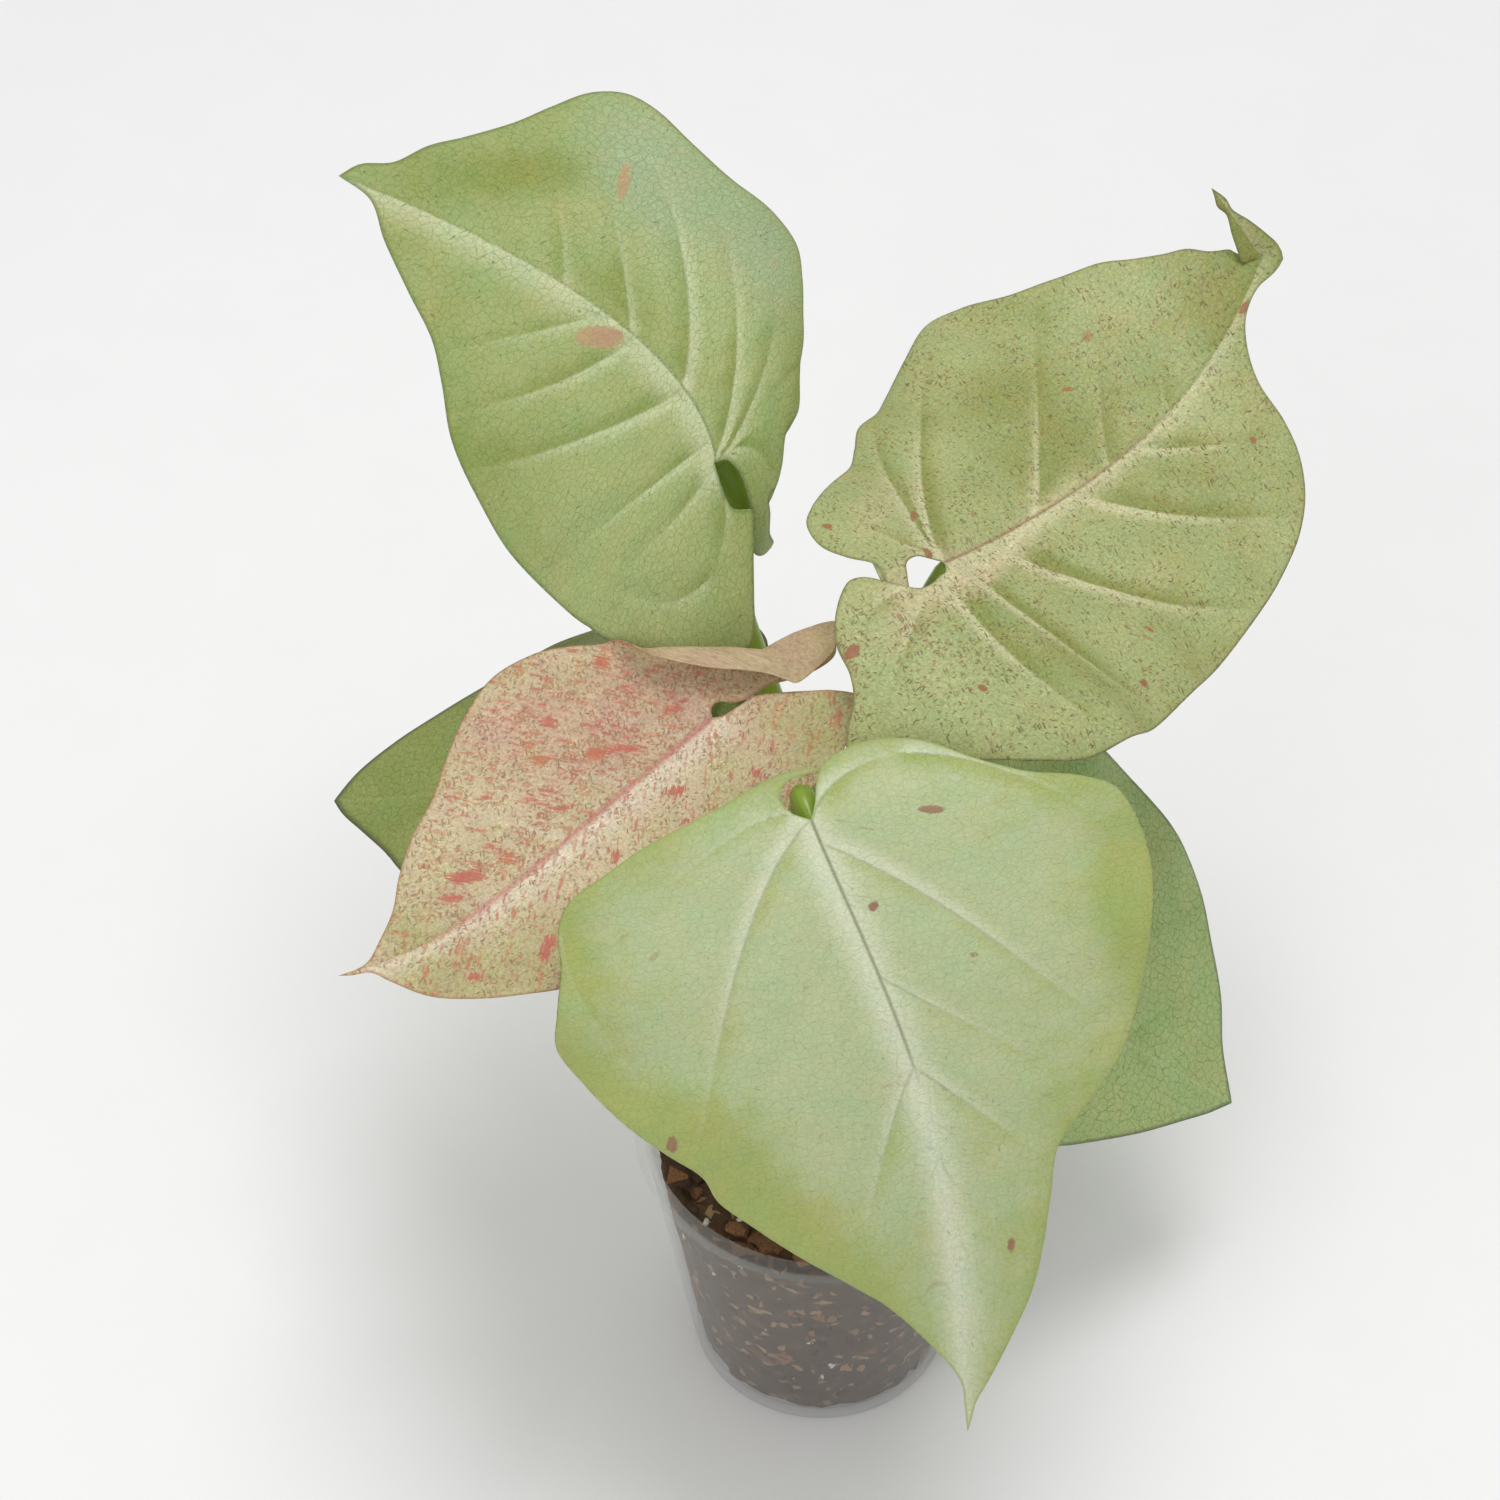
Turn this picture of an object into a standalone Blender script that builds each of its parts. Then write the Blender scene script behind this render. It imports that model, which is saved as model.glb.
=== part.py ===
# Young arrowhead plant: six arrow-shaped leaves on upright stalks, in a small clear nursery pot.
# Metres, +Z up. The origin is the centre of the pot's underside, and -Y is the plant's front.

import math

import bmesh
import bpy
import numpy as np
from mathutils import Vector
from mathutils.geometry import delaunay_2d_cdt

MM = 0.001
GAP = 0.3  # clearance kept between pieces that touch, in millimetres

# Pot: a 2-inch nursery pot.
POT_HEIGHT = 48.0
POT_BASE_RADIUS = 18.5
POT_RIM_RADIUS = 25.0
POT_WALL = 0.8
POT_FLOOR = 1.2
LIP_RADIUS = 26.0
LIP_HEIGHT = 2.6
DRAIN_RADIUS = 2.5
DRAIN_CIRCLE = 11.0
DRAIN_COUNT = 4

# Potting mix and the short stem that stands in it.
SOIL_TOP = 41.0
SOIL_BUMP = 0.9
LEVEL_RADIUS = 9.5  # the mix is level inside this radius, where the stalks rise
STEM_AXIS = (0.0, 2.0)
STEM_RADIUS = 3.2
STEM_BOTTOM = 29.0
STEM_TOP = 58.0

# Leaf stalks.
STALK_BASE_RADIUS = 1.9
STALK_TAPER = 0.7  # below 1 a stalk thins sooner
STALK_STEP = 3.4  # length of a straight piece of its curve
STALK_RISE = 5.0  # straight length above the foot
STALK_SPREAD = 0.4  # how much further than the usual clearance the feet stand from the stem

# Leaf blades.
BLADE = 0.7  # thickness
JOIN_STEP = 1.6  # how far along the midrib the stalk meets the blade

# Each blade is drawn flat and then given its form.
#   junction, bend, tip: midrib from the stalk's end to the tip, as a quadratic curve in space
#   length: of the midrib, and half_width: the distance over which the sides arch
#   face: which way the upper surface looks at the base, face_tip: at the tip
#   bow: how far the midrib bows to the right, and the power that sets where it bows most
#   rise: slope of the left and right half away from the midrib, in degrees
#   arch_base, arch_tip: how far the left and right margins curve down, in degrees
#   lobe_radius: radius of the curve by which the left and right basal lobes hang back
#   left, right: margin from the tip round the lobe to the junction, x across and y along the midrib
LEAVES = {
    "back_left": {
        "junction": (-14.6, 40, 130.4), "bend": (-22.8, 54, 143.6), "tip": (-65, 86, 140.2),
        "length": 70, "half_width": 34, "face": (0.05, -0.75, 0.7), "face_tip": (0.05, -0.7, 0.7),
        "rise": (4, 4), "arch_base": (30, 120), "arch_tip": (20, 20), "lobe_radius": (40, 14),
        "bow": (1.8, 0.6), "wave": (0.8, 17, 0.5), "grid": 4.5,
        # the left lobe lies over the right one, below the hole that the stalk shows in
        "left": [(0, 70), (-1.2, 65.5), (-5.5, 61), (-10, 55), (-14, 49), (-18, 45), (-23, 40),
                 (-27, 33), (-29.5, 26), (-30, 18), (-29, 9), (-26.5, 0), (-23, -6), (-18, -11),
                 (-13, -15.5), (-8.5, -19.5), (-5.6, -20.8), (-4, -19.5), (-2.6, -17),
                 (-0.4, -13.2), (1.6, -10), (2.3, -8.5), (1.2, -7.4), (0, -6.3), (-0.5, -4.6),
                 (-0.3, -2), (0, 0)],
        "right": [(0, 70), (2.7, 68.8), (4.7, 66), (8.8, 64), (12, 61.5), (17, 58.5), (21.4, 57),
                  (26.5, 55.2), (29, 52.5), (29.5, 48.5), (28.5, 42), (28, 34), (29.3, 27), (29, 20),
                  (26, 13.5), (23, 8), (21, 2.5), (18.3, -3), (15.6, -7.2), (12, -6.5), (9, -9.2),
                  (7, -10.2), (5.3, -10), (4.6, -12), (3.4, -14.5), (3.2, -17.8), (1.4, -17.3),
                  (0.1, -14.8), (0.4, -12), (2, -9.7), (3, -7.6), (3.5, -5.4), (3.4, -3.2),
                  (2, -1), (0, 0)],
    },
    "back_right": {
        "junction": (14, 28, 124.5), "bend": (34.5, 50, 114.8), "tip": (58, 78, 132.6),
        "length": 69, "half_width": 34, "face": (0.1, -0.35, 1), "face_tip": (0.1, -0.35, 1),
        "rise": (8, 8), "arch_base": (80, 25), "arch_tip": (20, 25), "lobe_radius": (14, 26),
        "bow": (3, 1.9), "wave": (0.9, 15, 0.0), "grid": 4.5,
        # the tip ends in a narrow ribbon that turns back up
        "drip": {"knee": (54.6, 79.2, 137.3), "end": (50.4, 80, 142.8), "face": (-0.1, -0.65, 0.75),
                 "length": 14, "ease": 4},
        "left": [(0, 83), (-0.35, 81.8), (-0.9, 80.3), (-0.55, 78.4), (-1.5, 75.5), (-2.4, 71.8),
                 (-3, 69.2), (-6, 65.8),
                 (-9, 64), (-11, 61.8), (-14, 59), (-17.6, 56), (-21, 51), (-24.7, 46.2),
                 (-30.2, 42), (-32.6, 38.5), (-30.8, 31), (-28.2, 24.5), (-26.6, 20.5), (-26.6, 17),
                 (-23.8, 13), (-20.8, 8), (-19.3, 1.5), (-17.4, -5), (-15.4, -8.4), (-11.5, -9.9),
                 (-7.6, -9), (-4.8, -7.5), (-3.3, -7.5), (-2.2, -8.2), (-0.4, -9.4), (1, -9),
                 (0.9, -7.3), (-0.9, -5.7), (-2.4, -4.3), (-2.4, -2.6), (-1.2, -1.3), (0, 0)],
        "right": [(0, 83), (0.35, 81.8), (0.7, 80.3), (0.55, 78.4), (1.5, 75.5), (2.4, 71.8),
                  (2.8, 69.3), (1.9, 66),
                  (2.8, 62.5), (5.3, 59.5), (9.7, 56.5), (15.6, 54.6), (20, 52.4), (23.7, 49),
                  (26.6, 44), (28.5, 38), (29.8, 31), (31, 22), (32, 11), (32.5, 0), (31.3, -8),
                  (28, -14.3), (24, -18.6), (20, -23.5), (16.5, -28), (12.8, -29.5), (9.8, -26.8),
                  (7.7, -23.5), (5, -21.4), (1.2, -19.8), (-1.8, -17.2), (-4.2, -13.6), (-4.8, -11.6),
                  (-4, -10), (-2.2, -8.9), (0.2, -7.6), (1.6, -6.5), (1.9, -5), (1.5, -3),
                  (1.2, -1.2), (0, 0)],
    },
    "pink": {
        "junction": (-14.9, 15, 110.1), "bend": (-34.2, 5, 96.5), "tip": (-60.3, -16, 97.2),
        "length": 57, "half_width": 30, "face": (-0.1, -0.35, 1), "face_tip": (-0.1, -0.35, 1),
        "rise": (10, 10), "arch_base": (15, 15), "arch_tip": (15, 15), "lobe_radius": (60, 20),
        "bow": (-2.5, 2.5), "wave": (0.5, 14, 1.0), "grid": 2.6,
        # the right lobe is rolled over, along a slanting line
        "roll": {"start": 9.5, "slant": 0.9, "radius": 1.7, "turn": 170, "none_at": 5, "full_at": -2},
        "left": [(0, 57), (-2, 54.5), (-5, 53), (-9, 50.5), (-13, 46), (-15.5, 42), (-18, 37),
                 (-19.5, 31), (-20, 24), (-19.5, 16), (-18.5, 8), (-17, 0), (-16, -7), (-14, -12),
                 (-10.5, -15.5), (-7.8, -13.8), (-5.8, -11.5), (-3.6, -8.8), (-1.4, -5.8),
                 (-1.15, -4.2), (-1, -2.8), (-0.7, -1.2), (0, 0)],
        "right": [(0, 57), (-0.4, 53.5), (1.4, 51), (3.5, 48), (7, 45), (10.5, 41), (13.5, 36),
                  (17.2, 31.5), (20.3, 26.5), (22.8, 19.5), (21.9, 14), (19.5, 9), (17.2, 5.5),
                  (15.8, 2.5), (15, -0.5), (14.2, -3.5), (12.1, -6.4), (11.1, -8.2), (11.3, -10),
                  (10.8, -12.3), (9.8, -15), (8.6, -16.6), (7, -18), (4.5, -20), (2, -20.8),
                  (0, -20), (-1.2, -18.5), (-2, -15), (-1.9, -12.6), (-1.6, -10.6), (-0.9, -8),
                  (-0.95, -6), (-0.7, -4.2), (0.1, -2.9), (1.1, -1.8), (1, -0.7), (0, 0)],
    },
    "front": {
        "junction": (-2.9, -8, 116.7), "bend": (6.7, -36, 102.7), "tip": (17.1, -50, 48.6),
        "length": 85, "half_width": 38, "face": (0, -0.8, 0.6), "face_tip": (0, -0.8, 0.6),
        "rise": (4, 4), "arch_base": (20, 20), "arch_tip": (20, 20), "lobe_radius": (14, 9),
        "bow": (-4, 1.3), "wave": (0.7, 21, 0.0), "grid": 4.5,
        "left": [(0, 85), (-0.8, 83.5), (-1.8, 81.5), (-4, 79), (-8, 74), (-11.5, 69), (-14, 63.5), (-16, 58),
                 (-18, 52.5), (-22, 48.5), (-28, 43), (-32.5, 35), (-35.5, 27), (-37.5, 19),
                 (-37.5, 11), (-36, 5.5), (-32, 2.5), (-27, 0.5), (-21, -3), (-15, -7.5), (-9, -9),
                 (-5, -8), (-3, -6.5), (-2.1, -4.5), (-1.5, -2.2), (0, 0)],
        # the right lobe closes the hole by the junction and ends behind the left one
        "right": [(0, 85), (-0.1, 83.5), (-0.3, 81.5), (-0.5, 79), (0.3, 76.5), (2.3, 73), (6, 67.5),
                  (10, 63.5), (15.5, 58.5),
                  (20, 54), (23.5, 50), (24.5, 46.5), (28, 42.5), (32.5, 37), (36, 31), (38, 25),
                  (36.5, 19.5), (34.5, 13), (33.5, 7), (31, 3), (26.4, 0.7), (20.7, -1.6),
                  (14.7, -3.2), (9.6, -4.6), (7, -5.8), (4.5, -7.1), (2.4, -8.3), (0.2, -8.8),
                  (-2, -8.6), (-2.9, -7.8), (-1.6, -7.3), (0.2, -6.9), (1.7, -6.1), (3.1, -4.8),
                  (3.5, -3.2), (2.6, -1.4), (0, 0)],
    },
    "low_left": {
        "junction": (-16.7, 24, 95.5), "bend": (-34.8, 22, 97.7), "tip": (-66.9, 32, 75.8),
        "length": 56, "half_width": 30, "face": (-0.1, -0.3, 1), "face_tip": (-0.1, -0.3, 1),
        "rise": (6, 6), "arch_base": (10, 50), "arch_tip": (10, 50), "lobe_radius": (60, 60),
        "bow": (-2.8, 1.5), "wave": (0.5, 16, 0.0), "grid": 5,
        "left": [(0, 56), (-2.5, 54.5), (-6, 51.5), (-10, 48), (-14, 45), (-20, 39), (-24.5, 32),
                 (-27, 24), (-26.5, 15), (-23, 7), (-18, 1), (-12, -3.5), (-6, -5), (-2.5, -3),
                 (0, 0)],
        "right": [(0, 56), (3.5, 53), (7, 48.5), (10, 44), (13, 40), (17, 34.5), (21.5, 29),
                  (25, 22), (27, 14), (27.3, 6), (26.5, -1), (24.5, -4.8), (21.7, -7.6), (18, -9.2),
                  (14.5, -9), (11.8, -8.2), (9.5, -6.8), (7, -6), (4.4, -4.6), (2, -2.4), (0, 0)],
    },
    "low_right": {
        "junction": (10.1, 8, 77.6), "bend": (32.6, 8, 65.7), "tip": (58.4, 14, 31.6),
        "length": 67, "half_width": 32, "face": (0.3, -0.5, 0.8), "face_tip": (0.3, -0.5, 0.8),
        "rise": (6, 6), "arch_base": (15, 60), "arch_tip": (15, 60), "lobe_radius": (60, 60),
        "bow": (1.2, 1.5), "wave": (0.5, 19, 0.0), "grid": 5,
        "left": [(0, 67), (-6, 62), (-12, 59), (-18, 55), (-24, 51), (-28, 46), (-31, 40), (-34, 32),
                 (-35, 24), (-34, 16), (-31, 7), (-26, -1), (-19, -7), (-12, -9), (-5, -8),
                 (-2, -4), (0, 0)],
        "right": [(0, 67), (3.5, 63), (6.5, 59), (11, 53), (15, 47), (18.5, 41), (20.5, 35),
                  (21, 27), (20, 19), (18, 11), (15, 4), (11.5, -2), (8, -5.5), (5, -6.5), (2, -4),
                  (0, 0)],
    },
}

# Each stalk: the place of its foot round the stem, as an angle from +X, the points it passes
# between its foot and its leaf, the straight length just below the leaf, and its radius there.
STALKS = {
    "back_left": {"angle": 105, "neck": 3.5, "top": 1.9,
                  "route": [(-1.6, 14.5, 71), (-3.8, 25, 89), (-8, 31, 98.5), (-12.3, 36.8, 112),
                            (-11.6, 41.3, 122)]},
    "back_right": {"angle": 50, "neck": 7, "top": 1.25,
                   "route": [(2.6, 12, 74), (3, 17.5, 91), (7.5, 24.5, 108)]},
    "pink": {"angle": 210, "neck": 6, "top": 1.25, "route": [(-5.6, 2, 74), (-8, 7.5, 92)]},
    "front": {"angle": 265, "neck": 2.5, "top": 1.5,
              "route": [(-1.2, -4.6, 75), (-2.2, -4.2, 96), (-3.5, -2.2, 108), (-3.9, -1.5, 113.2),
                        (-3.8, -3.4, 115.4)]},
    "low_left": {"angle": 155, "neck": 5, "top": 1.25, "route": [(-8.5, 11.5, 69), (-13, 19, 83)]},
    "low_right": {"angle": 325, "neck": 5, "top": 1.25, "route": [(5.2, 2.5, 62)]},
}

COLOURS = {
    "pot": (0.86, 0.88, 0.87, 1), "potting_mix": (0.10, 0.07, 0.045, 1), "stem": (0.40, 0.46, 0.22, 1),
    "stalk": (0.30, 0.46, 0.12, 1), "back_left": (0.52, 0.62, 0.36, 1),
    "back_right": (0.53, 0.58, 0.35, 1), "pink": (0.68, 0.52, 0.42, 1), "front": (0.50, 0.62, 0.40, 1),
    "low_left": (0.38, 0.50, 0.22, 1), "low_right": (0.40, 0.53, 0.26, 1),
}


def clear_scene():
    for obj in list(bpy.data.objects):
        bpy.data.objects.remove(obj, do_unlink=True)


def material(name, colour, roughness):
    made = bpy.data.materials.new(name)
    made.use_nodes = True
    shader = made.node_tree.nodes["Principled BSDF"]
    shader.inputs["Base Color"].default_value = colour
    shader.inputs["Roughness"].default_value = roughness
    shader.inputs["Metallic"].default_value = 0.0
    return made


def add_object(name, mesh, finish):
    obj = bpy.data.objects.new(name, mesh)
    mesh.materials.append(finish)
    bpy.context.scene.collection.objects.link(obj)
    return obj


def turned(name, profile, steps, finish, centre=(0.0, 0.0)):
    """Solid of revolution: the profile runs from the axis, round the outside, back to the axis."""
    bm = bmesh.new()
    points = [bm.verts.new((centre[0] * MM + r * MM, centre[1] * MM, z * MM)) for r, z in profile]
    edges = [bm.edges.new(pair) for pair in zip(points, points[1:])]
    bmesh.ops.spin(bm, geom=points + edges, cent=(centre[0] * MM, centre[1] * MM, 0), axis=(0, 0, 1),
                   angle=2 * math.pi, steps=steps, use_merge=True)
    bmesh.ops.remove_doubles(bm, verts=bm.verts, dist=1e-6)
    bmesh.ops.recalc_face_normals(bm, faces=bm.faces)
    mesh = bpy.data.meshes.new(name)
    bm.to_mesh(mesh)
    bm.free()
    mesh.shade_smooth()
    mesh.set_sharp_from_angle(angle=math.radians(35))
    return add_object(name, mesh, finish)


def pot_radius(z):
    """Outer radius of the pot's tapered wall at a height."""
    return POT_BASE_RADIUS + (POT_RIM_RADIUS - POT_BASE_RADIUS) * z / POT_HEIGHT


def make_pot():
    lip_bottom = POT_HEIGHT - LIP_HEIGHT
    profile = [
        (0, 0), (POT_BASE_RADIUS, 0), (pot_radius(lip_bottom), lip_bottom),
        (LIP_RADIUS, lip_bottom + 0.5), (LIP_RADIUS, POT_HEIGHT - 0.5), (LIP_RADIUS - 0.5, POT_HEIGHT),
        (pot_radius(POT_HEIGHT) - POT_WALL + 0.2, POT_HEIGHT),
        (pot_radius(POT_HEIGHT - 1) - POT_WALL, POT_HEIGHT - 1),
        (pot_radius(POT_FLOOR) - POT_WALL, POT_FLOOR), (0, POT_FLOOR),
    ]
    pot = turned("pot", profile, 56, material("clear_pot", COLOURS["pot"], 0.12))
    for index in range(DRAIN_COUNT):
        angle = math.radians(45) + 2 * math.pi * index / DRAIN_COUNT
        bpy.ops.mesh.primitive_cylinder_add(
            vertices=16, radius=DRAIN_RADIUS * MM, depth=6 * POT_FLOOR * MM,
            location=(DRAIN_CIRCLE * math.cos(angle) * MM, DRAIN_CIRCLE * math.sin(angle) * MM, 0))
        cutter = bpy.context.object
        cutter.name = f"drain_cutter_{index + 1}"
        cutter.hide_render = True
        cutter.display_type = "WIRE"
        cut = pot.modifiers.new(f"drain_{index + 1}", "BOOLEAN")
        cut.object = cutter
        cut.operation = "DIFFERENCE"
        cut.solver = "EXACT"


def make_potting_mix():
    """The pot's filling, with a plain hole for the stem and a lumpy top."""
    hole_bottom = STEM_BOTTOM - GAP
    bottom = POT_FLOOR + GAP

    def rim(z):
        return pot_radius(z) - POT_WALL - GAP

    hole = STEM_RADIUS + GAP
    rings = [LEVEL_RADIUS + (rim(SOIL_TOP) - LEVEL_RADIUS) * share for share in (0, 0.25, 0.5, 0.75, 1)]
    profile = [(0, bottom), (rim(bottom), bottom)] + [(r, SOIL_TOP) for r in reversed(rings)]
    profile += [(hole + 2.5, SOIL_TOP), (hole, SOIL_TOP), (hole, hole_bottom), (0, hole_bottom)]
    # the hole and the level patch are centred on the stem, the wall on the pot
    mix = turned("potting_mix", profile, 40, material("potting_mix", COLOURS["potting_mix"], 0.95))
    for vertex in mix.data.vertices:
        x, y, z = vertex.co / MM
        radius = math.hypot(x, y)
        if z > SOIL_TOP - 0.1 and LEVEL_RADIUS + 0.5 < radius < rim(SOIL_TOP) - 0.5:
            bump = math.sin(0.9 * x + 1.3) * math.cos(0.75 * y) + 0.5 * math.sin(1.7 * (x - y))
            vertex.co.z += SOIL_BUMP * bump * MM
        if radius < hole + 3:
            vertex.co.x += STEM_AXIS[0] * MM
            vertex.co.y += STEM_AXIS[1] * MM


def make_stem():
    top = STEM_TOP
    profile = [
        (0, STEM_BOTTOM), (STEM_RADIUS, STEM_BOTTOM), (STEM_RADIUS, SOIL_TOP + 6),
        (STEM_RADIUS - 0.5, top - 5), (STEM_RADIUS - 1.1, top - 2), (1.2, top - 0.4), (0, top),
    ]
    turned("stem", profile, 20, material("stem", COLOURS["stem"], 0.5), STEM_AXIS)


def unit(vectors):
    return vectors / np.linalg.norm(vectors, axis=-1, keepdims=True)


def smooth_step(values):
    values = np.clip(values, 0, 1)
    return values * values * (3 - 2 * values)


def spline(points, step):
    """Centripetal Catmull-Rom curve through 2-D or 3-D points, cut into pieces of about one step."""
    points = np.array(points, float)
    points = np.vstack([2 * points[0] - points[1], points, 2 * points[-1] - points[-2]])
    curve = []
    for a, b, c, d in zip(points, points[1:], points[2:], points[3:]):
        before, here, after = (np.linalg.norm(q - p) ** 0.5 for p, q in ((a, b), (b, c), (c, d)))
        leave = (c - b) + here * ((b - a) / before - (c - a) / (before + here))
        arrive = (c - b) + here * ((d - c) / after - (d - b) / (here + after))
        pieces = max(1, round(np.linalg.norm(c - b) / step))
        for t in np.arange(pieces) / pieces:
            curve.append((2 * t ** 3 - 3 * t ** 2 + 1) * b + (t ** 3 - 2 * t ** 2 + t) * leave
                         + (3 * t ** 2 - 2 * t ** 3) * c + (t ** 3 - t ** 2) * arrive)
    curve.append(points[-2])
    return np.array(curve)


def bezier(a, b, c, t):
    """Point and direction on a quadratic curve."""
    point = (1 - t) ** 2 * a + 2 * t * (1 - t) * b + t ** 2 * c
    return point, unit((1 - t) * (b - a) + t * (c - b))


def rib_bow(leaf, y):
    """How far the midrib bows to the right of the straight line from junction to tip."""
    amount, power = leaf["bow"]
    return amount * np.sin(math.pi * np.clip(y / leaf["length"], 0, 1) ** power)


def blade_frame(leaf, y, side):
    """Midrib point, direction, upward normal and rightward direction at y along the midrib."""
    base, bend, tip = (np.array(leaf[key], float) for key in ("junction", "bend", "tip"))
    u = np.clip(y / leaf["length"], 0, 1)[:, None]
    point, along = bezier(base, bend, tip, u)
    face = (1 - u) * unit(np.array(leaf["face"])) + u * unit(np.array(leaf["face_tip"]))
    across = unit(np.cross(tip - base, face))
    up = unit(np.cross(across, along))
    radius = leaf["lobe_radius"][side]
    turn = (np.maximum(-y, 0) / radius)[:, None]
    point = point + across * rib_bow(leaf, y)[:, None]
    point = point - radius * (along * np.sin(turn) + up * (1 - np.cos(turn)))
    up = up * np.cos(turn) - along * np.sin(turn)
    if "drip" in leaf:
        point, up, across = drip_frame(leaf, y, point, up, across)
    return point, up, across


def drip_frame(leaf, y, point, up, across):
    """The drip tip turns off the midrib's end as a narrow ribbon."""
    drip = leaf["drip"]
    tip, knee, end = (np.array(p, float) for p in (leaf["tip"], drip["knee"], drip["end"]))
    past = y > leaf["length"]
    t = np.clip((y - leaf["length"]) / drip["length"], 0, 1)[:, None]
    ribbon, along = bezier(tip, knee, end, t)
    ribbon_across = unit(np.cross(along, np.array(drip["face"])))
    ribbon_up = np.cross(ribbon_across, along)
    mix = smooth_step((y - leaf["length"] + 2) / drip["ease"])[:, None]
    across = unit((1 - mix) * across + mix * ribbon_across)
    up = unit((1 - mix) * up + mix * ribbon_up)
    return np.where(past[:, None], ribbon, point), up, across


def blade_section(leaf, x, y, side):
    """Sideways and upward distances of a blade point that lies x across, measured on the blade."""
    share = (np.clip(y / leaf["length"], -0.3, 1) + 0.3) / 1.3
    arch = leaf["arch_base"][side] * (1 - share) + leaf["arch_tip"][side] * share
    out, up = np.zeros_like(x), np.zeros_like(x)
    steps = 24
    for k in range(steps):
        r = x * (k + 0.5) / steps
        slope = np.radians(leaf["rise"][side] - arch * r / leaf["half_width"])
        if "roll" in leaf and side == 1:
            slope = slope + rolled(leaf["roll"], r, y)
        out += np.cos(slope) * x / steps
        up += np.sin(slope) * x / steps
    return out, up


def rolled(roll, r, y):
    """Extra slope of the rolled lobe at a distance r from the midrib."""
    start = np.maximum(roll["start"] + roll["slant"] * y, 1)
    share = smooth_step((roll["none_at"] - y) / (roll["none_at"] - roll["full_at"]))
    return np.minimum(np.maximum(r - start, 0) / roll["radius"], np.radians(roll["turn"]) * share)


def blade_points(leaf, flat, side):
    """Places in space of flat blade points of one side, in millimetres."""
    y = flat[:, 1]
    x = flat[:, 0] - rib_bow(leaf, y)
    point, up, across = blade_frame(leaf, y, side)
    sign = 1 if side == 1 else -1
    out, rise = blade_section(leaf, x * sign, y, side)
    size, pitch, phase = leaf["wave"]
    rise = rise + size * (x / leaf["half_width"]) ** 2 * np.sin(2 * np.pi * y / pitch + phase + 2 * side)
    return point + across * (sign * out)[:, None] + up * rise[:, None]


def inside(points, outline):
    """Which points lie inside a closed outline."""
    x, y = points[:, 0], points[:, 1]
    result = np.zeros(len(points), bool)
    for (x1, y1), (x2, y2) in zip(outline, np.roll(outline, -1, axis=0)):
        crosses = (y1 > y) != (y2 > y)
        slope = (x2 - x1) / (y2 - y1) if y2 != y1 else 0.0
        result ^= crosses & (x < x1 + slope * (y - y1))
    return result


def flat_half(leaf, side):
    """Even triangles over one half of the flat blade: points and faces."""
    grid = leaf["grid"]
    margin = spline(leaf["right" if side else "left"], min(grid, 3.5))
    far = margin[0, 1]
    rib_y = np.linspace(0, far, max(2, round(far / grid)) + 1)[1:-1]
    rib = np.stack([rib_bow(leaf, rib_y), rib_y], axis=1)
    outline = np.vstack([margin, rib])
    low, high = outline.min(axis=0), outline.max(axis=0)
    rows = np.arange(low[1], high[1], grid * math.sqrt(0.75))
    spots = [(x + (k % 2) * grid / 2, y) for k, y in enumerate(rows)
             for x in np.arange(low[0] - grid, high[0] + grid, grid)]
    spots = np.array(spots)
    spots = spots[inside(spots, outline)]
    nearest = np.linalg.norm(spots[:, None] - outline[None], axis=2).min(axis=1)
    spots = spots[nearest > 0.6 * grid]
    points = [Vector(p) for p in np.vstack([outline, spots])]
    border = [(k, (k + 1) % len(outline)) for k in range(len(outline))]
    made, _, faces, _, _, _ = delaunay_2d_cdt(points, border, [], 1, 1e-5)
    return np.array([tuple(p) for p in made]), faces


def make_blade(name, leaf):
    bm = bmesh.new()
    for side in (0, 1):
        flat, faces = flat_half(leaf, side)
        verts = [bm.verts.new(p * MM) for p in blade_points(leaf, flat, side)]
        for face in faces:
            bm.faces.new([verts[k] for k in face])
    bmesh.ops.remove_doubles(bm, verts=bm.verts, dist=1e-6)
    bmesh.ops.recalc_face_normals(bm, faces=bm.faces)
    mesh = bpy.data.meshes.new(f"blade_{name}")
    bm.to_mesh(mesh)
    bm.free()
    mesh.shade_smooth()
    blade = add_object(f"blade_{name}", mesh, material(f"blade_{name}", COLOURS[name], 0.45))
    sheet = blade.modifiers.new("thickness", "SOLIDIFY")
    sheet.thickness = BLADE * MM
    sheet.offset = 0
    return blade


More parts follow.
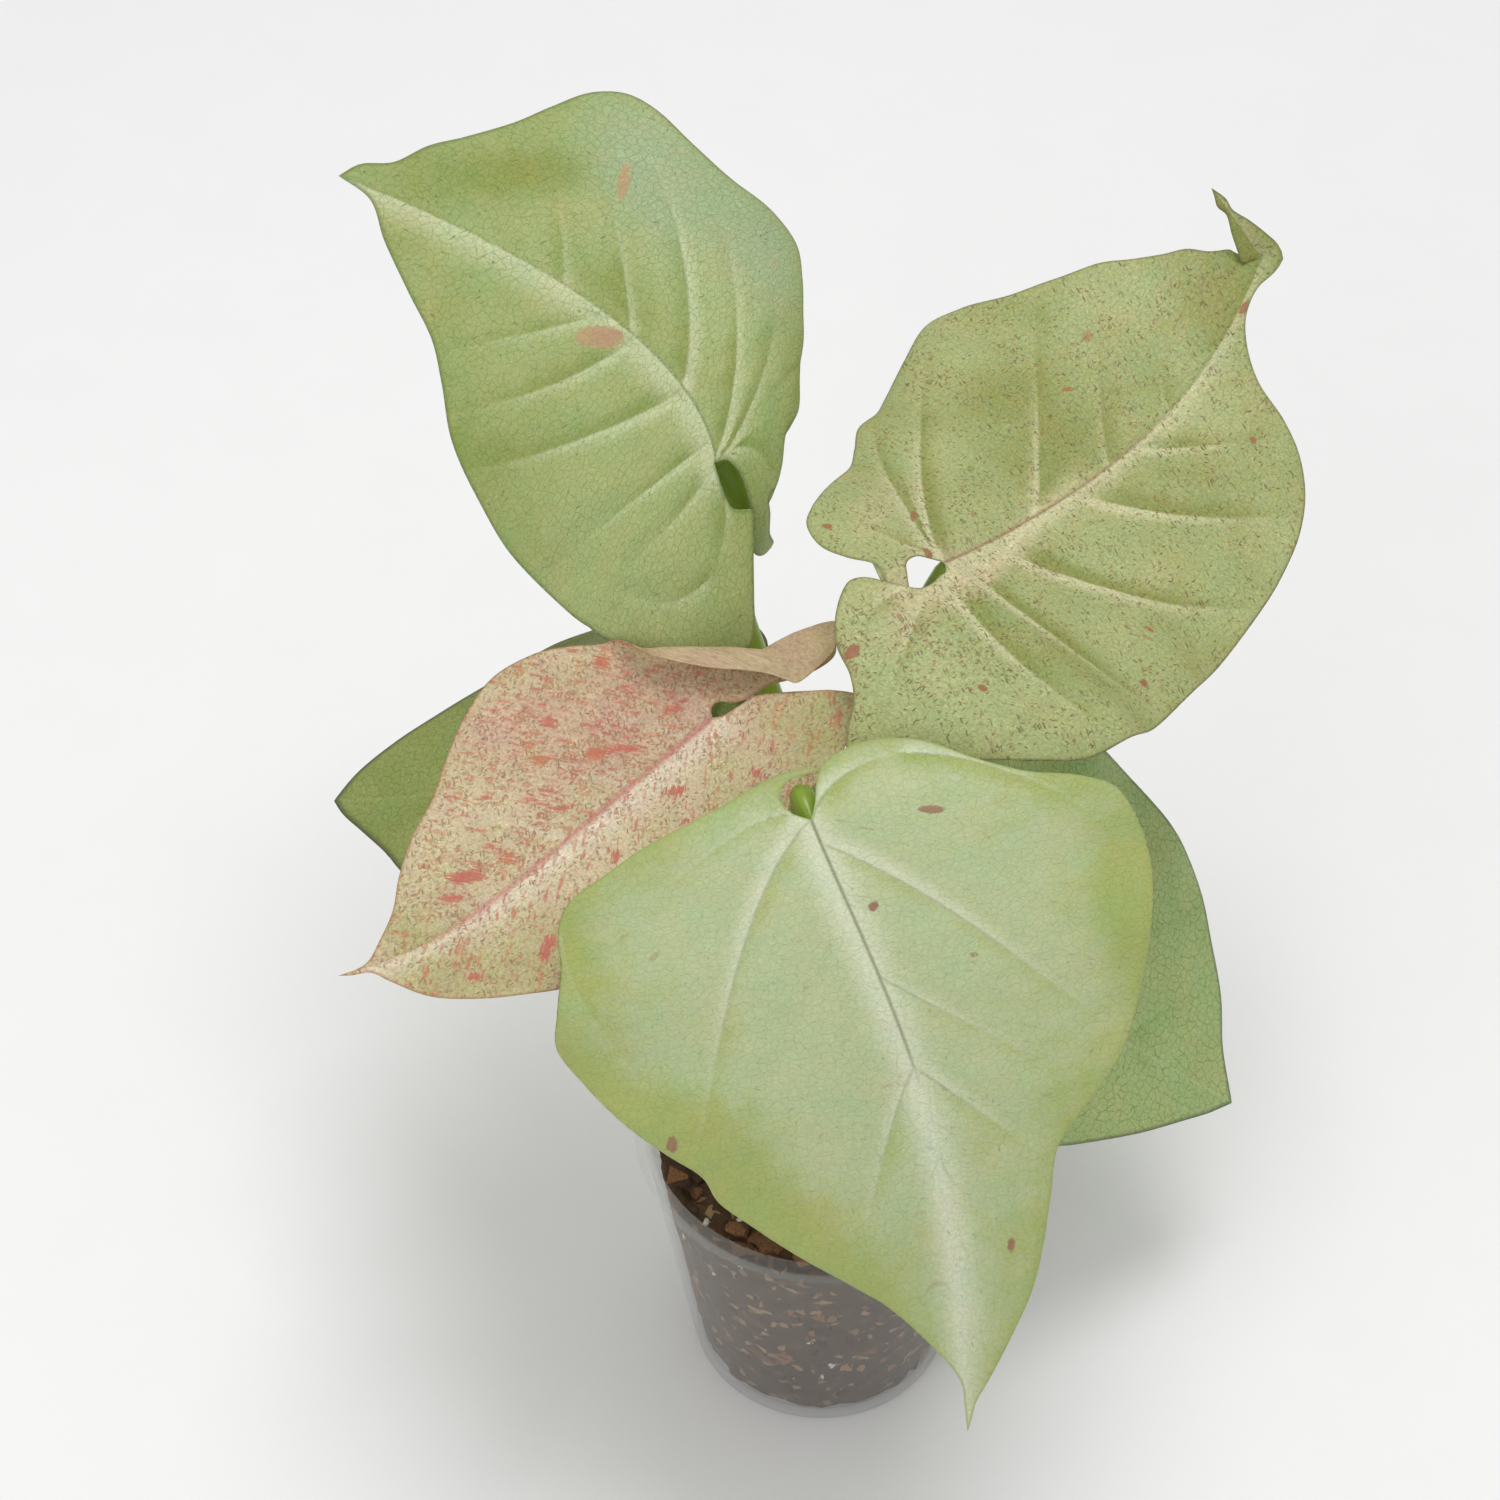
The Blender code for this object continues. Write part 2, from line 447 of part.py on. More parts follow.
def make_stalk(name, stalk, leaf):
    """A tapering stalk from the stem's foot to just under its blade."""
    angle = math.radians(stalk["angle"])
    reach = STEM_RADIUS + GAP + STALK_BASE_RADIUS + STALK_SPREAD
    foot = np.array([STEM_AXIS[0] + reach * math.cos(angle), STEM_AXIS[1] + reach * math.sin(angle),
                     SOIL_TOP + GAP])
    joint, up, _ = (value[0] for value in blade_frame(leaf, np.array([JOIN_STEP]), 1))
    below = BLADE / 2 + GAP + 0.1
    route = [foot + (0, 0, STALK_RISE)] + stalk["route"] + [joint - up * stalk["neck"], joint - up * below]
    path = np.vstack([foot, spline(route, STALK_STEP)])
    curve = bpy.data.curves.new(f"stalk_{name}", "CURVE")
    curve.dimensions = "3D"
    curve.bevel_depth = MM
    curve.bevel_resolution = 2
    curve.use_fill_caps = True
    line = curve.splines.new("POLY")
    line.points.add(len(path) - 1)
    for k, (spot, place) in enumerate(zip(line.points, path)):
        share = k / (len(path) - 1)
        spot.co = (*(place * MM), 1)
        spot.radius = STALK_BASE_RADIUS + (stalk["top"] - STALK_BASE_RADIUS) * share ** STALK_TAPER
    obj = bpy.data.objects.new(f"stalk_{name}", curve)
    curve.materials.append(material(f"stalk_{name}", COLOURS["stalk"], 0.4))
    bpy.context.scene.collection.objects.link(obj)


def main():
    clear_scene()
    make_pot()
    make_potting_mix()
    make_stem()
    for name, leaf in LEAVES.items():
        make_blade(name, leaf)
        make_stalk(name, STALKS[name], leaf)


main()
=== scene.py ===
# Young arrowhead plant in a small clear nursery pot: its looks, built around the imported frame.
# Sizes are in millimetres, and MM turns them into metres where they go into a mesh.

import math

import bmesh
import bpy
import numpy as np
from mathutils import Matrix, Vector, noise


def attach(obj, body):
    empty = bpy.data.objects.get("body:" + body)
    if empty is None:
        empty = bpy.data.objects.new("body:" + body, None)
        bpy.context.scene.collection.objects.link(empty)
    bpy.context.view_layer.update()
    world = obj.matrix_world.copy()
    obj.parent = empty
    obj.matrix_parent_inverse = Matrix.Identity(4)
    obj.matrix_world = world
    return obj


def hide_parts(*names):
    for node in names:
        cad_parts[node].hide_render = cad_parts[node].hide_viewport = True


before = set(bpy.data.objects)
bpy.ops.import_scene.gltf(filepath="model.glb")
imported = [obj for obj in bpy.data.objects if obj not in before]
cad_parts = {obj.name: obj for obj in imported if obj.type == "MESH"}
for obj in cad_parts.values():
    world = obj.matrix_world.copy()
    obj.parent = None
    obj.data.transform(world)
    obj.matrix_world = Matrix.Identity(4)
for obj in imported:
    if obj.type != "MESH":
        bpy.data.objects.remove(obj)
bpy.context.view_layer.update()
MM = 0.001


# Floor and backdrop: one plain pale sheet under the plant.
# The camera stands 0.45 m away and looks down at 47 degrees, as the photograph was taken.
FLOOR_HALF = 3000.0
CAMERA_PLACE = (-10.191, -268.906, 408.668)
CAMERA_TILT = 43.0
LENS = 79
SENSOR = 36


class Wire:
    """One output of a shader node, which adds, subtracts and multiplies as a number does."""

    def __init__(self, paint, socket):
        self.paint, self.socket = paint, socket

    def __add__(self, other):
        return self.paint.maths("ADD", self, other)

    def __sub__(self, other):
        return self.paint.maths("SUBTRACT", self, other)

    def __rsub__(self, other):
        return self.paint.maths("SUBTRACT", other, self)

    def __mul__(self, other):
        return self.paint.maths("MULTIPLY", self, other)

    def also(self, out):
        """Another output of the same node."""
        return Wire(self.paint, self.socket.node.outputs[out])


class Painter:
    """Adds shader nodes to one tree. An input is a plain value or the wire that feeds it."""

    def __init__(self, tree):
        self.tree = tree

    def put(self, kind, inputs, out=0, **settings):
        node = self.tree.nodes.new("ShaderNode" + kind)
        for key, value in settings.items():
            setattr(node, key, value)
        for key, value in inputs.items():
            if isinstance(value, Wire):
                self.tree.links.new(value.socket, node.inputs[key])
            else:
                node.inputs[key].default_value = value
        return Wire(self, node.outputs[out])

    def maths(self, operation, first, second=0.0, **settings):
        return self.put("Math", {0: first, 1: second}, operation=operation, **settings)

    def place(self):
        """Where a point lies on the finished object, in metres."""
        return self.put("TexCoord", {}, "Object")

    def mark(self, name, out="Fac"):
        """What the mesh says of a point under a name."""
        return self.put("Attribute", {}, out, attribute_name=name)

    def cloud(self, place, scale, detail=2.0, roughness=0.5, out="Fac"):
        """Soft random patches."""
        return self.put("TexNoise", {"Vector": place, "Scale": scale, "Detail": detail,
                                     "Roughness": roughness}, out)

    def cells(self, place, scale, out="Distance", **settings):
        """Random cells: how far a point is from its cell's middle or edge, or the cell's own colour."""
        return self.put("TexVoronoi", {"Vector": place, "Scale": scale}, out, **settings)

    def pick(self, colour):
        """The first channel of a colour, as a random number for each cell."""
        return self.put("SeparateColor", {0: colour})

    def blend(self, share, first, second, **settings):
        """A colour between two others."""
        return self.put("Mix", {0: share, 6: first, 7: second}, 2, data_type="RGBA", **settings)

    def ramp(self, value, start, end, low=0.0, high=1.0, **settings):
        """Goes from low to high while the value goes from start to end."""
        return self.put("MapRange", {0: value, 1: start, 2: end, 3: low, 4: high}, **settings)

    def stretched(self, place, scale):
        """A place counted in longer or shorter steps along each axis."""
        return self.put("Mapping", {0: place, 3: scale})

    def feed(self, name, wire):
        self.tree.links.new(wire.socket, self.tree.nodes["Principled BSDF"].inputs[name])

    def relief(self, height, strength, distance):
        """Feeds fine relief to the shader; the distance is in metres."""
        self.feed("Normal", self.put("Bump", {"Height": height, "Strength": strength, "Distance": distance}))


def seen(*colour):
    """A colour as a screen shows it, 0 to 255, as the linear colour a shader takes."""
    return (*(c / 255 / 12.92 if c < 10.3 else ((c / 255 + 0.055) / 1.055) ** 2.4 for c in colour), 1.0)


def new_paint(name, **values):
    """A material whose Principled shader has the given plain values, and its painter."""
    made = bpy.data.materials.new(name)
    made.use_nodes = True
    shader = made.node_tree.nodes["Principled BSDF"]
    for key, value in values.items():
        shader.inputs[key.replace("_", " ").title().replace("Ior", "IOR")].default_value = value
    return made, Painter(made.node_tree)


def as_object(name, bm, *materials):
    """Turns a bmesh into a smooth-shaded object that sits at the origin."""
    mesh = bpy.data.meshes.new(name)
    bm.to_mesh(mesh)
    bm.free()
    mesh.shade_smooth()
    for made in materials:
        mesh.materials.append(made)
    made = bpy.data.objects.new(name, mesh)
    bpy.context.scene.collection.objects.link(made)
    return made


pale, paint = new_paint("pale_floor", roughness=0.6)
grain = paint.cloud(paint.place(), 60.0)
paint.feed("Base Color", paint.blend(grain, seen(251, 251, 251), seen(254, 254, 254)))
bm = bmesh.new()
bmesh.ops.create_grid(bm, x_segments=4, y_segments=4, size=FLOOR_HALF * MM)
floor = as_object("floor", bm, pale)

camera = bpy.data.objects.new("camera", bpy.data.cameras.new("camera"))
camera.data.lens = LENS
camera.data.sensor_width = SENSOR
camera.data.clip_start = 0.02
camera.location = Vector(CAMERA_PLACE) * MM
camera.rotation_euler = (math.radians(CAMERA_TILT), 0, 0)
bpy.context.scene.collection.objects.link(camera)
bpy.context.scene.camera = camera


# Light: an even bright room all round, one soft lamp nearly overhead and a weaker one in front.
# The lamp overhead grazes the hanging leaves, so that the folds between their veins show.
ROOM_STRENGTH = 0.55
LAMPS_AIM = (0, 0, 90)
LAMPS = (("lamp_above", (60, 100, 1050), 480, 4.0), ("lamp_front", (-500, -700, 600), 700, 1.7))

world = bpy.data.worlds.new("room")
world.use_nodes = True
room = world.node_tree.nodes["Background"].inputs
room["Color"].default_value = (1.0, 1.0, 1.0, 1.0)
room["Strength"].default_value = ROOM_STRENGTH
bpy.context.scene.world = world
bpy.context.scene.view_settings.view_transform = "Standard"
for name, place, size, power in LAMPS:
    lamp = bpy.data.objects.new(name, bpy.data.lights.new(name, "AREA"))
    lamp.data.shape = "DISK"
    lamp.data.size = size * MM
    lamp.data.energy = power
    lamp.location = Vector(place) * MM
    lamp.rotation_euler = (Vector(LAMPS_AIM) * MM - lamp.location).to_track_quat("-Z", "Y").to_euler()
    bpy.context.scene.collection.objects.link(lamp)


# Pot: a 2-inch nursery pot, formed from thin clear plastic with a rolled lip, a foot ring and four
# drain holes. It stands on its foot ring and holds the mix.
POT_HEIGHT = 48.0
POT_BASE_RADIUS = 18.5
POT_RIM_RADIUS = 25.0
POT_WALL = 0.8
POT_FLOOR = 1.2
LIP_RADIUS = 26.0
LIP_HEIGHT = 2.6
DRAIN_RADIUS = 2.5
DRAIN_CIRCLE = 11.0
FOOT_HOLLOW = 0.4
POT_STEPS = 128
SHARP_ANGLE = 40


def pot_radius(z):
    """Outer radius of the tapered wall at a height."""
    return POT_BASE_RADIUS + (POT_RIM_RADIUS - POT_BASE_RADIUS) * z / POT_HEIGHT


def turned(profile, steps, centre=(0.0, 0.0)):
    """Bmesh of a profile of radius and height, spun round an upright axis and closed."""
    bm = bmesh.new()
    points = [bm.verts.new((r * MM, 0, z * MM)) for r, z in profile]
    edges = [bm.edges.new(pair) for pair in zip(points, points[1:])]
    bmesh.ops.spin(bm, geom=points + edges, cent=(0, 0, 0), axis=(0, 0, 1), angle=2 * math.pi,
                   steps=steps, use_merge=True)
    bmesh.ops.remove_doubles(bm, verts=bm.verts, dist=1e-6)
    bmesh.ops.recalc_face_normals(bm, faces=bm.faces)
    bmesh.ops.translate(bm, verts=bm.verts, vec=Vector((*centre, 0)) * MM)
    return bm


def rounded(centre, radius, start, end, count=5):
    """Points of an arc of a profile, from one angle to another."""
    angles = np.radians(np.linspace(start, end, count))
    return [(centre[0] + radius * math.cos(a), centre[1] + radius * math.sin(a)) for a in angles]


lip_low = POT_HEIGHT - LIP_HEIGHT
inner_rim = pot_radius(POT_HEIGHT) - POT_WALL
profile = [(0, FOOT_HOLLOW), (14.6, FOOT_HOLLOW), (15.2, 0.0)]
profile += rounded((POT_BASE_RADIUS - 0.7, 0.7), 0.7, -90, -8)
profile += [(pot_radius(z), z) for z in (12, 24, 36)]
profile += rounded((pot_radius(lip_low), lip_low + 0.3), 0.3, -90, -60, 3)
profile += rounded((LIP_RADIUS - 0.4, lip_low + 0.5), 0.4, -60, 0, 4)
profile += rounded((LIP_RADIUS - 0.6, POT_HEIGHT - 0.6), 0.6, 0, 90)
profile += rounded((inner_rim + 0.5, POT_HEIGHT - 0.5), 0.5, 90, 180)
profile += [(pot_radius(z) - POT_WALL, z) for z in (36, 24, 12)]
profile += rounded((pot_radius(POT_FLOOR) - POT_WALL - 1, POT_FLOOR + 1), 1.0, 0, -90)
profile += [(0, POT_FLOOR)]
pot = as_object("clear_pot", turned(profile, POT_STEPS))
cutters = bmesh.new()
for angle in np.radians((45, 135, 225, 315)):
    spot = Matrix.Translation(Vector((math.cos(angle), math.sin(angle), 0)) * DRAIN_CIRCLE * MM)
    bmesh.ops.create_cone(cutters, cap_ends=True, segments=32, radius1=DRAIN_RADIUS * MM,
                          radius2=DRAIN_RADIUS * MM, depth=8 * POT_FLOOR * MM, matrix=spot)
cutter = as_object("drain_cutter", cutters)
cut = pot.modifiers.new("drains", "BOOLEAN")
cut.object = cutter
cut.solver = "EXACT"
whole = bpy.data.meshes.new_from_object(pot.evaluated_get(bpy.context.evaluated_depsgraph_get()))
pot.modifiers.clear()
pot.data = whole
bpy.data.objects.remove(cutter)
whole.shade_smooth()
whole.set_sharp_from_angle(angle=math.radians(SHARP_ANGLE))

clear, paint = new_paint("clear_plastic", base_color=seen(186, 190, 188), roughness=0.08, ior=1.46,
                         coat_weight=0.3, coat_roughness=0.06)
place = paint.place()
veil = paint.ramp(paint.put("LayerWeight", {"Blend": 0.1}, "Facing"), 0.0, 1.0, 0.015, 0.75)
dust = paint.ramp(paint.cloud(place, 160.0, 5.0), 0.5, 0.85, 0.0, 0.03)
paint.feed("Alpha", paint.maths("ADD", veil, dust, use_clamp=True))
paint.relief(paint.cloud(place, 90.0), 0.12, 0.0004)
whole.materials.clear()
whole.materials.append(clear)
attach(pot, "root")
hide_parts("pot")


# Potting mix: loose bark, fibre and perlite, pressed into the pot up to a few millimetres below the rim.
# The body carries the crumb, and chips and white grains lie on top of it and against the clear wall.
SOIL_TOP = 41.0
SOIL_BOTTOM = 1.5
STEM_AXIS = (0.0, 2.0)
STEM_RADIUS = 3.2
STEM_BOTTOM = 29.0
GAP = 0.3
HOLE = STEM_RADIUS + GAP
BARK_ON_TOP = 210
BARK_AT_WALL = 260
GRAINS_EACH = 45  # on top, and as many at the wall


def mix_limit(z):
    """Radius the mix reaches at a height."""
    return pot_radius(z) - POT_WALL - GAP


def crumb(place, size):
    """Lumpiness of the mix at a place, about -1 to 1, for lumps of a size in millimetres."""
    return noise.fractal(Vector(place) / size, 0.9, 2.1, 4)


heights = np.linspace(SOIL_BOTTOM + 0.1, SOIL_TOP - 0.6, 54)
rings = np.linspace(mix_limit(SOIL_TOP) - 0.5, HOLE, 34)
profile = [(0, SOIL_BOTTOM)] + [(mix_limit(z), z) for z in heights] + [(r, SOIL_TOP) for r in rings]
profile += [(HOLE, STEM_BOTTOM - GAP), (0, STEM_BOTTOM - GAP)]
bm = turned(profile, 120)
for vert in bm.verts:
    x, y, z = vert.co / MM
    radius = math.hypot(x, y)
    if radius < 0.5 or (radius < HOLE + 0.1 and z < SOIL_TOP - 0.1):
        vert.co.y += STEM_AXIS[1] * MM
    elif z > SOIL_TOP - 0.1:
        ease = min(1.0, max(0.0, (radius - HOLE) / 3))
        vert.co.y += STEM_AXIS[1] * MM * (1 - ease)
        vert.co.z += (0.9 * crumb((x, y, 0), 4.5) + 0.45 * crumb((x, y, 9), 1.3)) * ease * MM
    else:
        sink = max(0.35 + 0.45 * crumb((x, y, z), 2.2), 0)
        vert.co.x -= x / radius * sink * MM
        vert.co.y -= y / radius * sink * MM
mix = as_object("potting_mix_body", bm)

earth, paint = new_paint("bark_mix", roughness=0.92)
place = paint.place()
lumps = paint.cloud(place, 420.0, 6.0, 0.65)
brown = paint.blend(lumps, seen(40, 28, 19), seen(112, 82, 56))
light = paint.ramp(paint.pick(paint.cells(place, 900.0, "Color")), 0.86, 0.95)
paint.feed("Base Color", paint.blend(light, brown, seen(156, 126, 92)))
paint.relief(lumps, 0.9, 0.0006)
mix.data.materials.append(earth)
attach(mix, "root")
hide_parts("potting_mix")

rng = np.random.default_rng(7)


def lump_place(on_top):
    """A place for a chip: on the mix's top, or just inside the clear wall."""
    angle = rng.uniform(0, 2 * math.pi)
    if on_top:
        radius = math.sqrt(rng.uniform((HOLE + 3.4) ** 2, (mix_limit(SOIL_TOP) - 1.6) ** 2))
        z = SOIL_TOP + 0.2
    else:
        z = rng.uniform(3, SOIL_TOP - 1)
        radius = mix_limit(z) - 0.75
    return Vector((radius * math.cos(angle), radius * math.sin(angle), z))


def lumps_of(count_top, count_wall, shape, low, high, flat):
    """One bmesh of many small turned lumps; flat squashes each one."""
    made = bmesh.new()
    for number in range(count_top + count_wall):
        place = lump_place(number < count_top)
        size = rng.uniform(low, high)
        stretch = Vector((size * rng.uniform(0.8, 1.5), size * rng.uniform(0.6, 1.0), size * flat))
        turn = Matrix.Rotation(rng.uniform(0, 6.28), 4, "Z")
        if number >= count_top:
            turn = Vector((place.x, place.y, 0)).to_track_quat("Z", "Y").to_matrix().to_4x4() @ turn
            stretch.z = min(stretch.z, 0.6)
        else:
            turn = Matrix.Rotation(rng.normal(0, 0.3), 4, "X") @ turn
        spot = Matrix.Translation(place * MM) @ turn @ Matrix.Diagonal((*(stretch * MM), 1))
        if shape == "chip":
            lump = bmesh.ops.create_cube(made, size=1.0, matrix=spot)
        else:
            lump = bmesh.ops.create_icosphere(made, subdivisions=2, radius=0.5, matrix=spot)
        for vert in lump["verts"]:
            vert.co += Vector(rng.normal(0, 0.09, 3)) * size * MM
    return made


bm = lumps_of(BARK_ON_TOP, BARK_AT_WALL, "chip", 1.3, 3.4, 0.42)
bmesh.ops.bevel(bm, geom=bm.edges[:] + bm.verts[:], offset=0.18 * MM, segments=1, profile=0.5,
                affect="EDGES", material=-1)
bark = as_object("bark_chips", bm)
chip, paint = new_paint("bark", roughness=0.85)
place = paint.place()
wood = paint.put("ValToRGB", {0: paint.pick(paint.cells(place, 330.0, "Color"))})
shades = wood.socket.node.color_ramp.elements
shades[0].color = seen(58, 38, 24)
shades[1].color = seen(148, 104, 66)
shades.new(0.55).color = seen(96, 62, 38)
fibre = paint.cloud(paint.stretched(place, (1, 1, 0.2)), 2600.0, 3.0)
shade = paint.ramp(fibre, 0.3, 0.7, 0.55, 1.1)
paint.feed("Base Color", paint.blend(1.0, wood, shade, blend_type="MULTIPLY"))
paint.relief(fibre, 0.5, 0.0002)
bark.data.materials.append(chip)
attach(bark, "root")

perlite = as_object("perlite_grains", lumps_of(GRAINS_EACH, GRAINS_EACH, "grain", 0.9, 2.0, 0.8))
chalk, paint = new_paint("perlite", roughness=0.8)
pits = paint.cells(paint.place(), 2400.0)
paint.feed("Base Color", paint.blend(pits, seen(196, 190, 178), seen(238, 236, 228)))
paint.relief(pits, 0.6, 0.0002)
perlite.data.materials.append(chalk)
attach(perlite, "root")


# Stem: the short main stem, ringed by the scars and sheaths of older leaves, standing in the mix.
# The leaf stalks rise round it, and it ends in a blunt green tip.
STEM_TOP = 58.0
STEM_CAP = 2.2
STEM_RINGS = (43.5, 47.2, 50.6, 53.6)


def stem_radius(z):
    """Radius of the stem, with a shallow collar at each leaf scar."""
    taper = STEM_RADIUS - 0.1 - 0.9 * max(0.0, (z - 44) / 14) ** 1.6
    collar = sum(0.22 * math.exp(-((z - ring) / 0.35) ** 2) for ring in STEM_RINGS)
    return min(STEM_RADIUS, taper + collar - 0.15)


cap_low = STEM_TOP - STEM_CAP
profile = [(0, STEM_BOTTOM), (STEM_RADIUS - 0.4, STEM_BOTTOM)]
profile += [(stem_radius(z), z) for z in np.linspace(STEM_BOTTOM + 0.4, cap_low, 90)]
profile += [(stem_radius(cap_low) * math.cos(a), cap_low + STEM_CAP * math.sin(a))
            for a in np.linspace(0.15, math.pi / 2, 8)[:-1]]
profile += [(0, STEM_TOP)]
stem = as_object("main_stem", turned(profile, 48, STEM_AXIS))
skin, paint = new_paint("stem_skin", roughness=0.45, coat_weight=0.1)
place = paint.place()
green = paint.blend(paint.cloud(place, 300.0, 5.0), seen(122, 138, 66), seen(168, 176, 108))
old = paint.ramp(paint.put("SeparateXYZ", {0: place}, 2), 0.05, 0.042)
paint.feed("Base Color", paint.blend(old, green, seen(134, 112, 72)))
paint.relief(paint.cloud(paint.stretched(place, (1, 1, 0.06)), 2000.0), 0.3, 0.0002)
stem.data.materials.append(skin)
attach(stem, "root")
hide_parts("stem")


# Leaf blades: each is drawn flat, arrow-shaped with two basal lobes, and then given its form in space.
# A blade is thin living tissue on a midrib, pleated so that each side vein lies in a valley.
HALF_BLADE = 0.19  # half the thickness away from the margin
RIB_WIDTH = 0.75
RIB_DEPTH = 0.7  # how far the midrib stands out beneath
RIB_GROOVE = 0.28
FOLD_REACH = 3.0  # how far a side vein's valley reaches
VEIN_CORD = 0.3  # how far a side vein stands out beneath
PUFF = 0.15  # how far the tissue swells between its veins
MARGIN_REACH = 4.5
OUTLINE_STEP = 0.3
ARCH_STEPS = 24
PROBE = 0.04  # how far apart the points lie that give a slope
LEAF_MARKS = ("rib", "margin", "fold", "offset", "glow", "tone", "warm", "blush", "dense", "line", "under")


def unit(vectors):
    return vectors / np.maximum(np.linalg.norm(vectors, axis=-1, keepdims=True), 1e-12)


def smooth_step(values):
    values = np.clip(values, 0, 1)
    return values * values * (3 - 2 * values)


def spline(points, step):
    """Centripetal Catmull-Rom curve through 2-D or 3-D points, cut into pieces of about one step."""
    points = np.array(points, float)
    points = np.vstack([2 * points[0] - points[1], points, 2 * points[-1] - points[-2]])
    curve = []
    for a, b, c, d in zip(points, points[1:], points[2:], points[3:]):
        before, here, after = (np.linalg.norm(q - p) ** 0.5 for p, q in ((a, b), (b, c), (c, d)))
        leave = (c - b) + here * ((b - a) / before - (c - a) / (before + here))
        arrive = (c - b) + here * ((d - c) / after - (d - b) / (here + after))
        pieces = max(1, round(np.linalg.norm(c - b) / step))
        for t in np.arange(pieces) / pieces:
            curve.append((2 * t ** 3 - 3 * t ** 2 + 1) * b + (t ** 3 - 2 * t ** 2 + t) * leave
                         + (3 * t ** 2 - 2 * t ** 3) * c + (t ** 3 - t ** 2) * arrive)
    curve.append(points[-2])
    return np.array(curve)


def bezier(a, b, c, t):
    """Point and direction on a quadratic curve."""
    point = (1 - t) ** 2 * a + 2 * t * (1 - t) * b + t ** 2 * c
    return point, unit((1 - t) * (b - a) + t * (c - b))


def reach(line):
    """Distance along a line of points, at each of them."""
    return np.concatenate([[0], np.cumsum(np.linalg.norm(np.diff(line, axis=0), axis=1))])


def spread(line, shares):
    """Points of a line at the given shares of its length."""
    far = reach(line)
    return np.stack([np.interp(shares * far[-1], far, line[:, k]) for k in range(2)], axis=1)


def rib_bow(leaf, y):
    """How far the midrib bows to the right of the straight line from junction to tip."""
    amount, power = leaf["bow"]
    return amount * np.sin(math.pi * np.clip(y / leaf["length"], 0, 1) ** power)


def drip_frame(leaf, y, point, up, across):
    """The drip tip turns off the midrib's end as a narrow ribbon."""
    drip = leaf["drip"]
    tip, knee, end = (np.array(p, float) for p in (leaf["tip"], drip["knee"], drip["end"]))
    past = y > leaf["length"]
    t = np.clip((y - leaf["length"]) / drip["length"], 0, 1)[:, None]
    ribbon, along = bezier(tip, knee, end, t)
    ribbon_across = unit(np.cross(along, np.array(drip["face"])))
    ribbon_up = np.cross(ribbon_across, along)
    mix = smooth_step((y - leaf["length"] + 2) / drip["ease"])[:, None]
    across = unit((1 - mix) * across + mix * ribbon_across)
    up = unit((1 - mix) * up + mix * ribbon_up)
    return np.where(past[:, None], ribbon, point), up, across


def blade_frame(leaf, y, side):
    """Midrib point, upward normal and rightward direction at y along the midrib."""
    base, bend, tip = (np.array(leaf[key], float) for key in ("junction", "bend", "tip"))
    u = np.clip(y / leaf["length"], 0, 1)[:, None]
    point, along = bezier(base, bend, tip, u)
    face_base, face_tip = (unit(np.array(leaf[key])) for key in ("face", "face_tip"))
    across = unit(np.cross(tip - base, (1 - u) * face_base + u * face_tip))
    up = unit(np.cross(across, along))
    radius = leaf["lobe_radius"][side]
    turn = (np.maximum(-y, 0) / radius)[:, None]
    point = point + across * rib_bow(leaf, y)[:, None]
    point = point - radius * (along * np.sin(turn) + up * (1 - np.cos(turn)))
    up = up * np.cos(turn) - along * np.sin(turn)
    if "drip" in leaf:
        return drip_frame(leaf, y, point, up, across)
    return point, up, across


def rolled(roll, r, y):
    """Extra slope of the rolled lobe at a distance r from the midrib."""
    start = np.maximum(roll["start"] + roll["slant"] * y, 1)
    share = smooth_step((roll["none_at"] - y) / (roll["none_at"] - roll["full_at"]))
    return np.minimum(np.maximum(r - start, 0) / roll["radius"], np.radians(roll["turn"]) * share)


def blade_points(leaf, flat, side):
    """Places in space, in millimetres, of points of one half of the flat blade."""
    y = flat[:, 1]
    x = flat[:, 0] - rib_bow(leaf, y)
    point, up, across = blade_frame(leaf, y, side)
    sign = (-1, 1)[side]
    share = (np.clip(y / leaf["length"], -0.3, 1) + 0.3) / 1.3
    arch = leaf["arch_base"][side] * (1 - share) + leaf["arch_tip"][side] * share
    out, rise = np.zeros_like(x), np.zeros_like(x)
    for k in range(ARCH_STEPS):
        r = x * sign * (k + 0.5) / ARCH_STEPS
        slope = np.radians(leaf["rise"] - arch * r / leaf["half_width"])
        if "roll" in leaf and side == 1:
            slope = slope + rolled(leaf["roll"], r, y)
        out += np.cos(slope) * x * sign / ARCH_STEPS
        rise += np.sin(slope) * x * sign / ARCH_STEPS
    size, pitch, phase = leaf["wave"]
    rise = rise + size * (x / leaf["half_width"]) ** 2 * np.sin(2 * np.pi * y / pitch + phase + 2 * side)
    return point + across * (sign * out)[:, None] + up * rise[:, None]


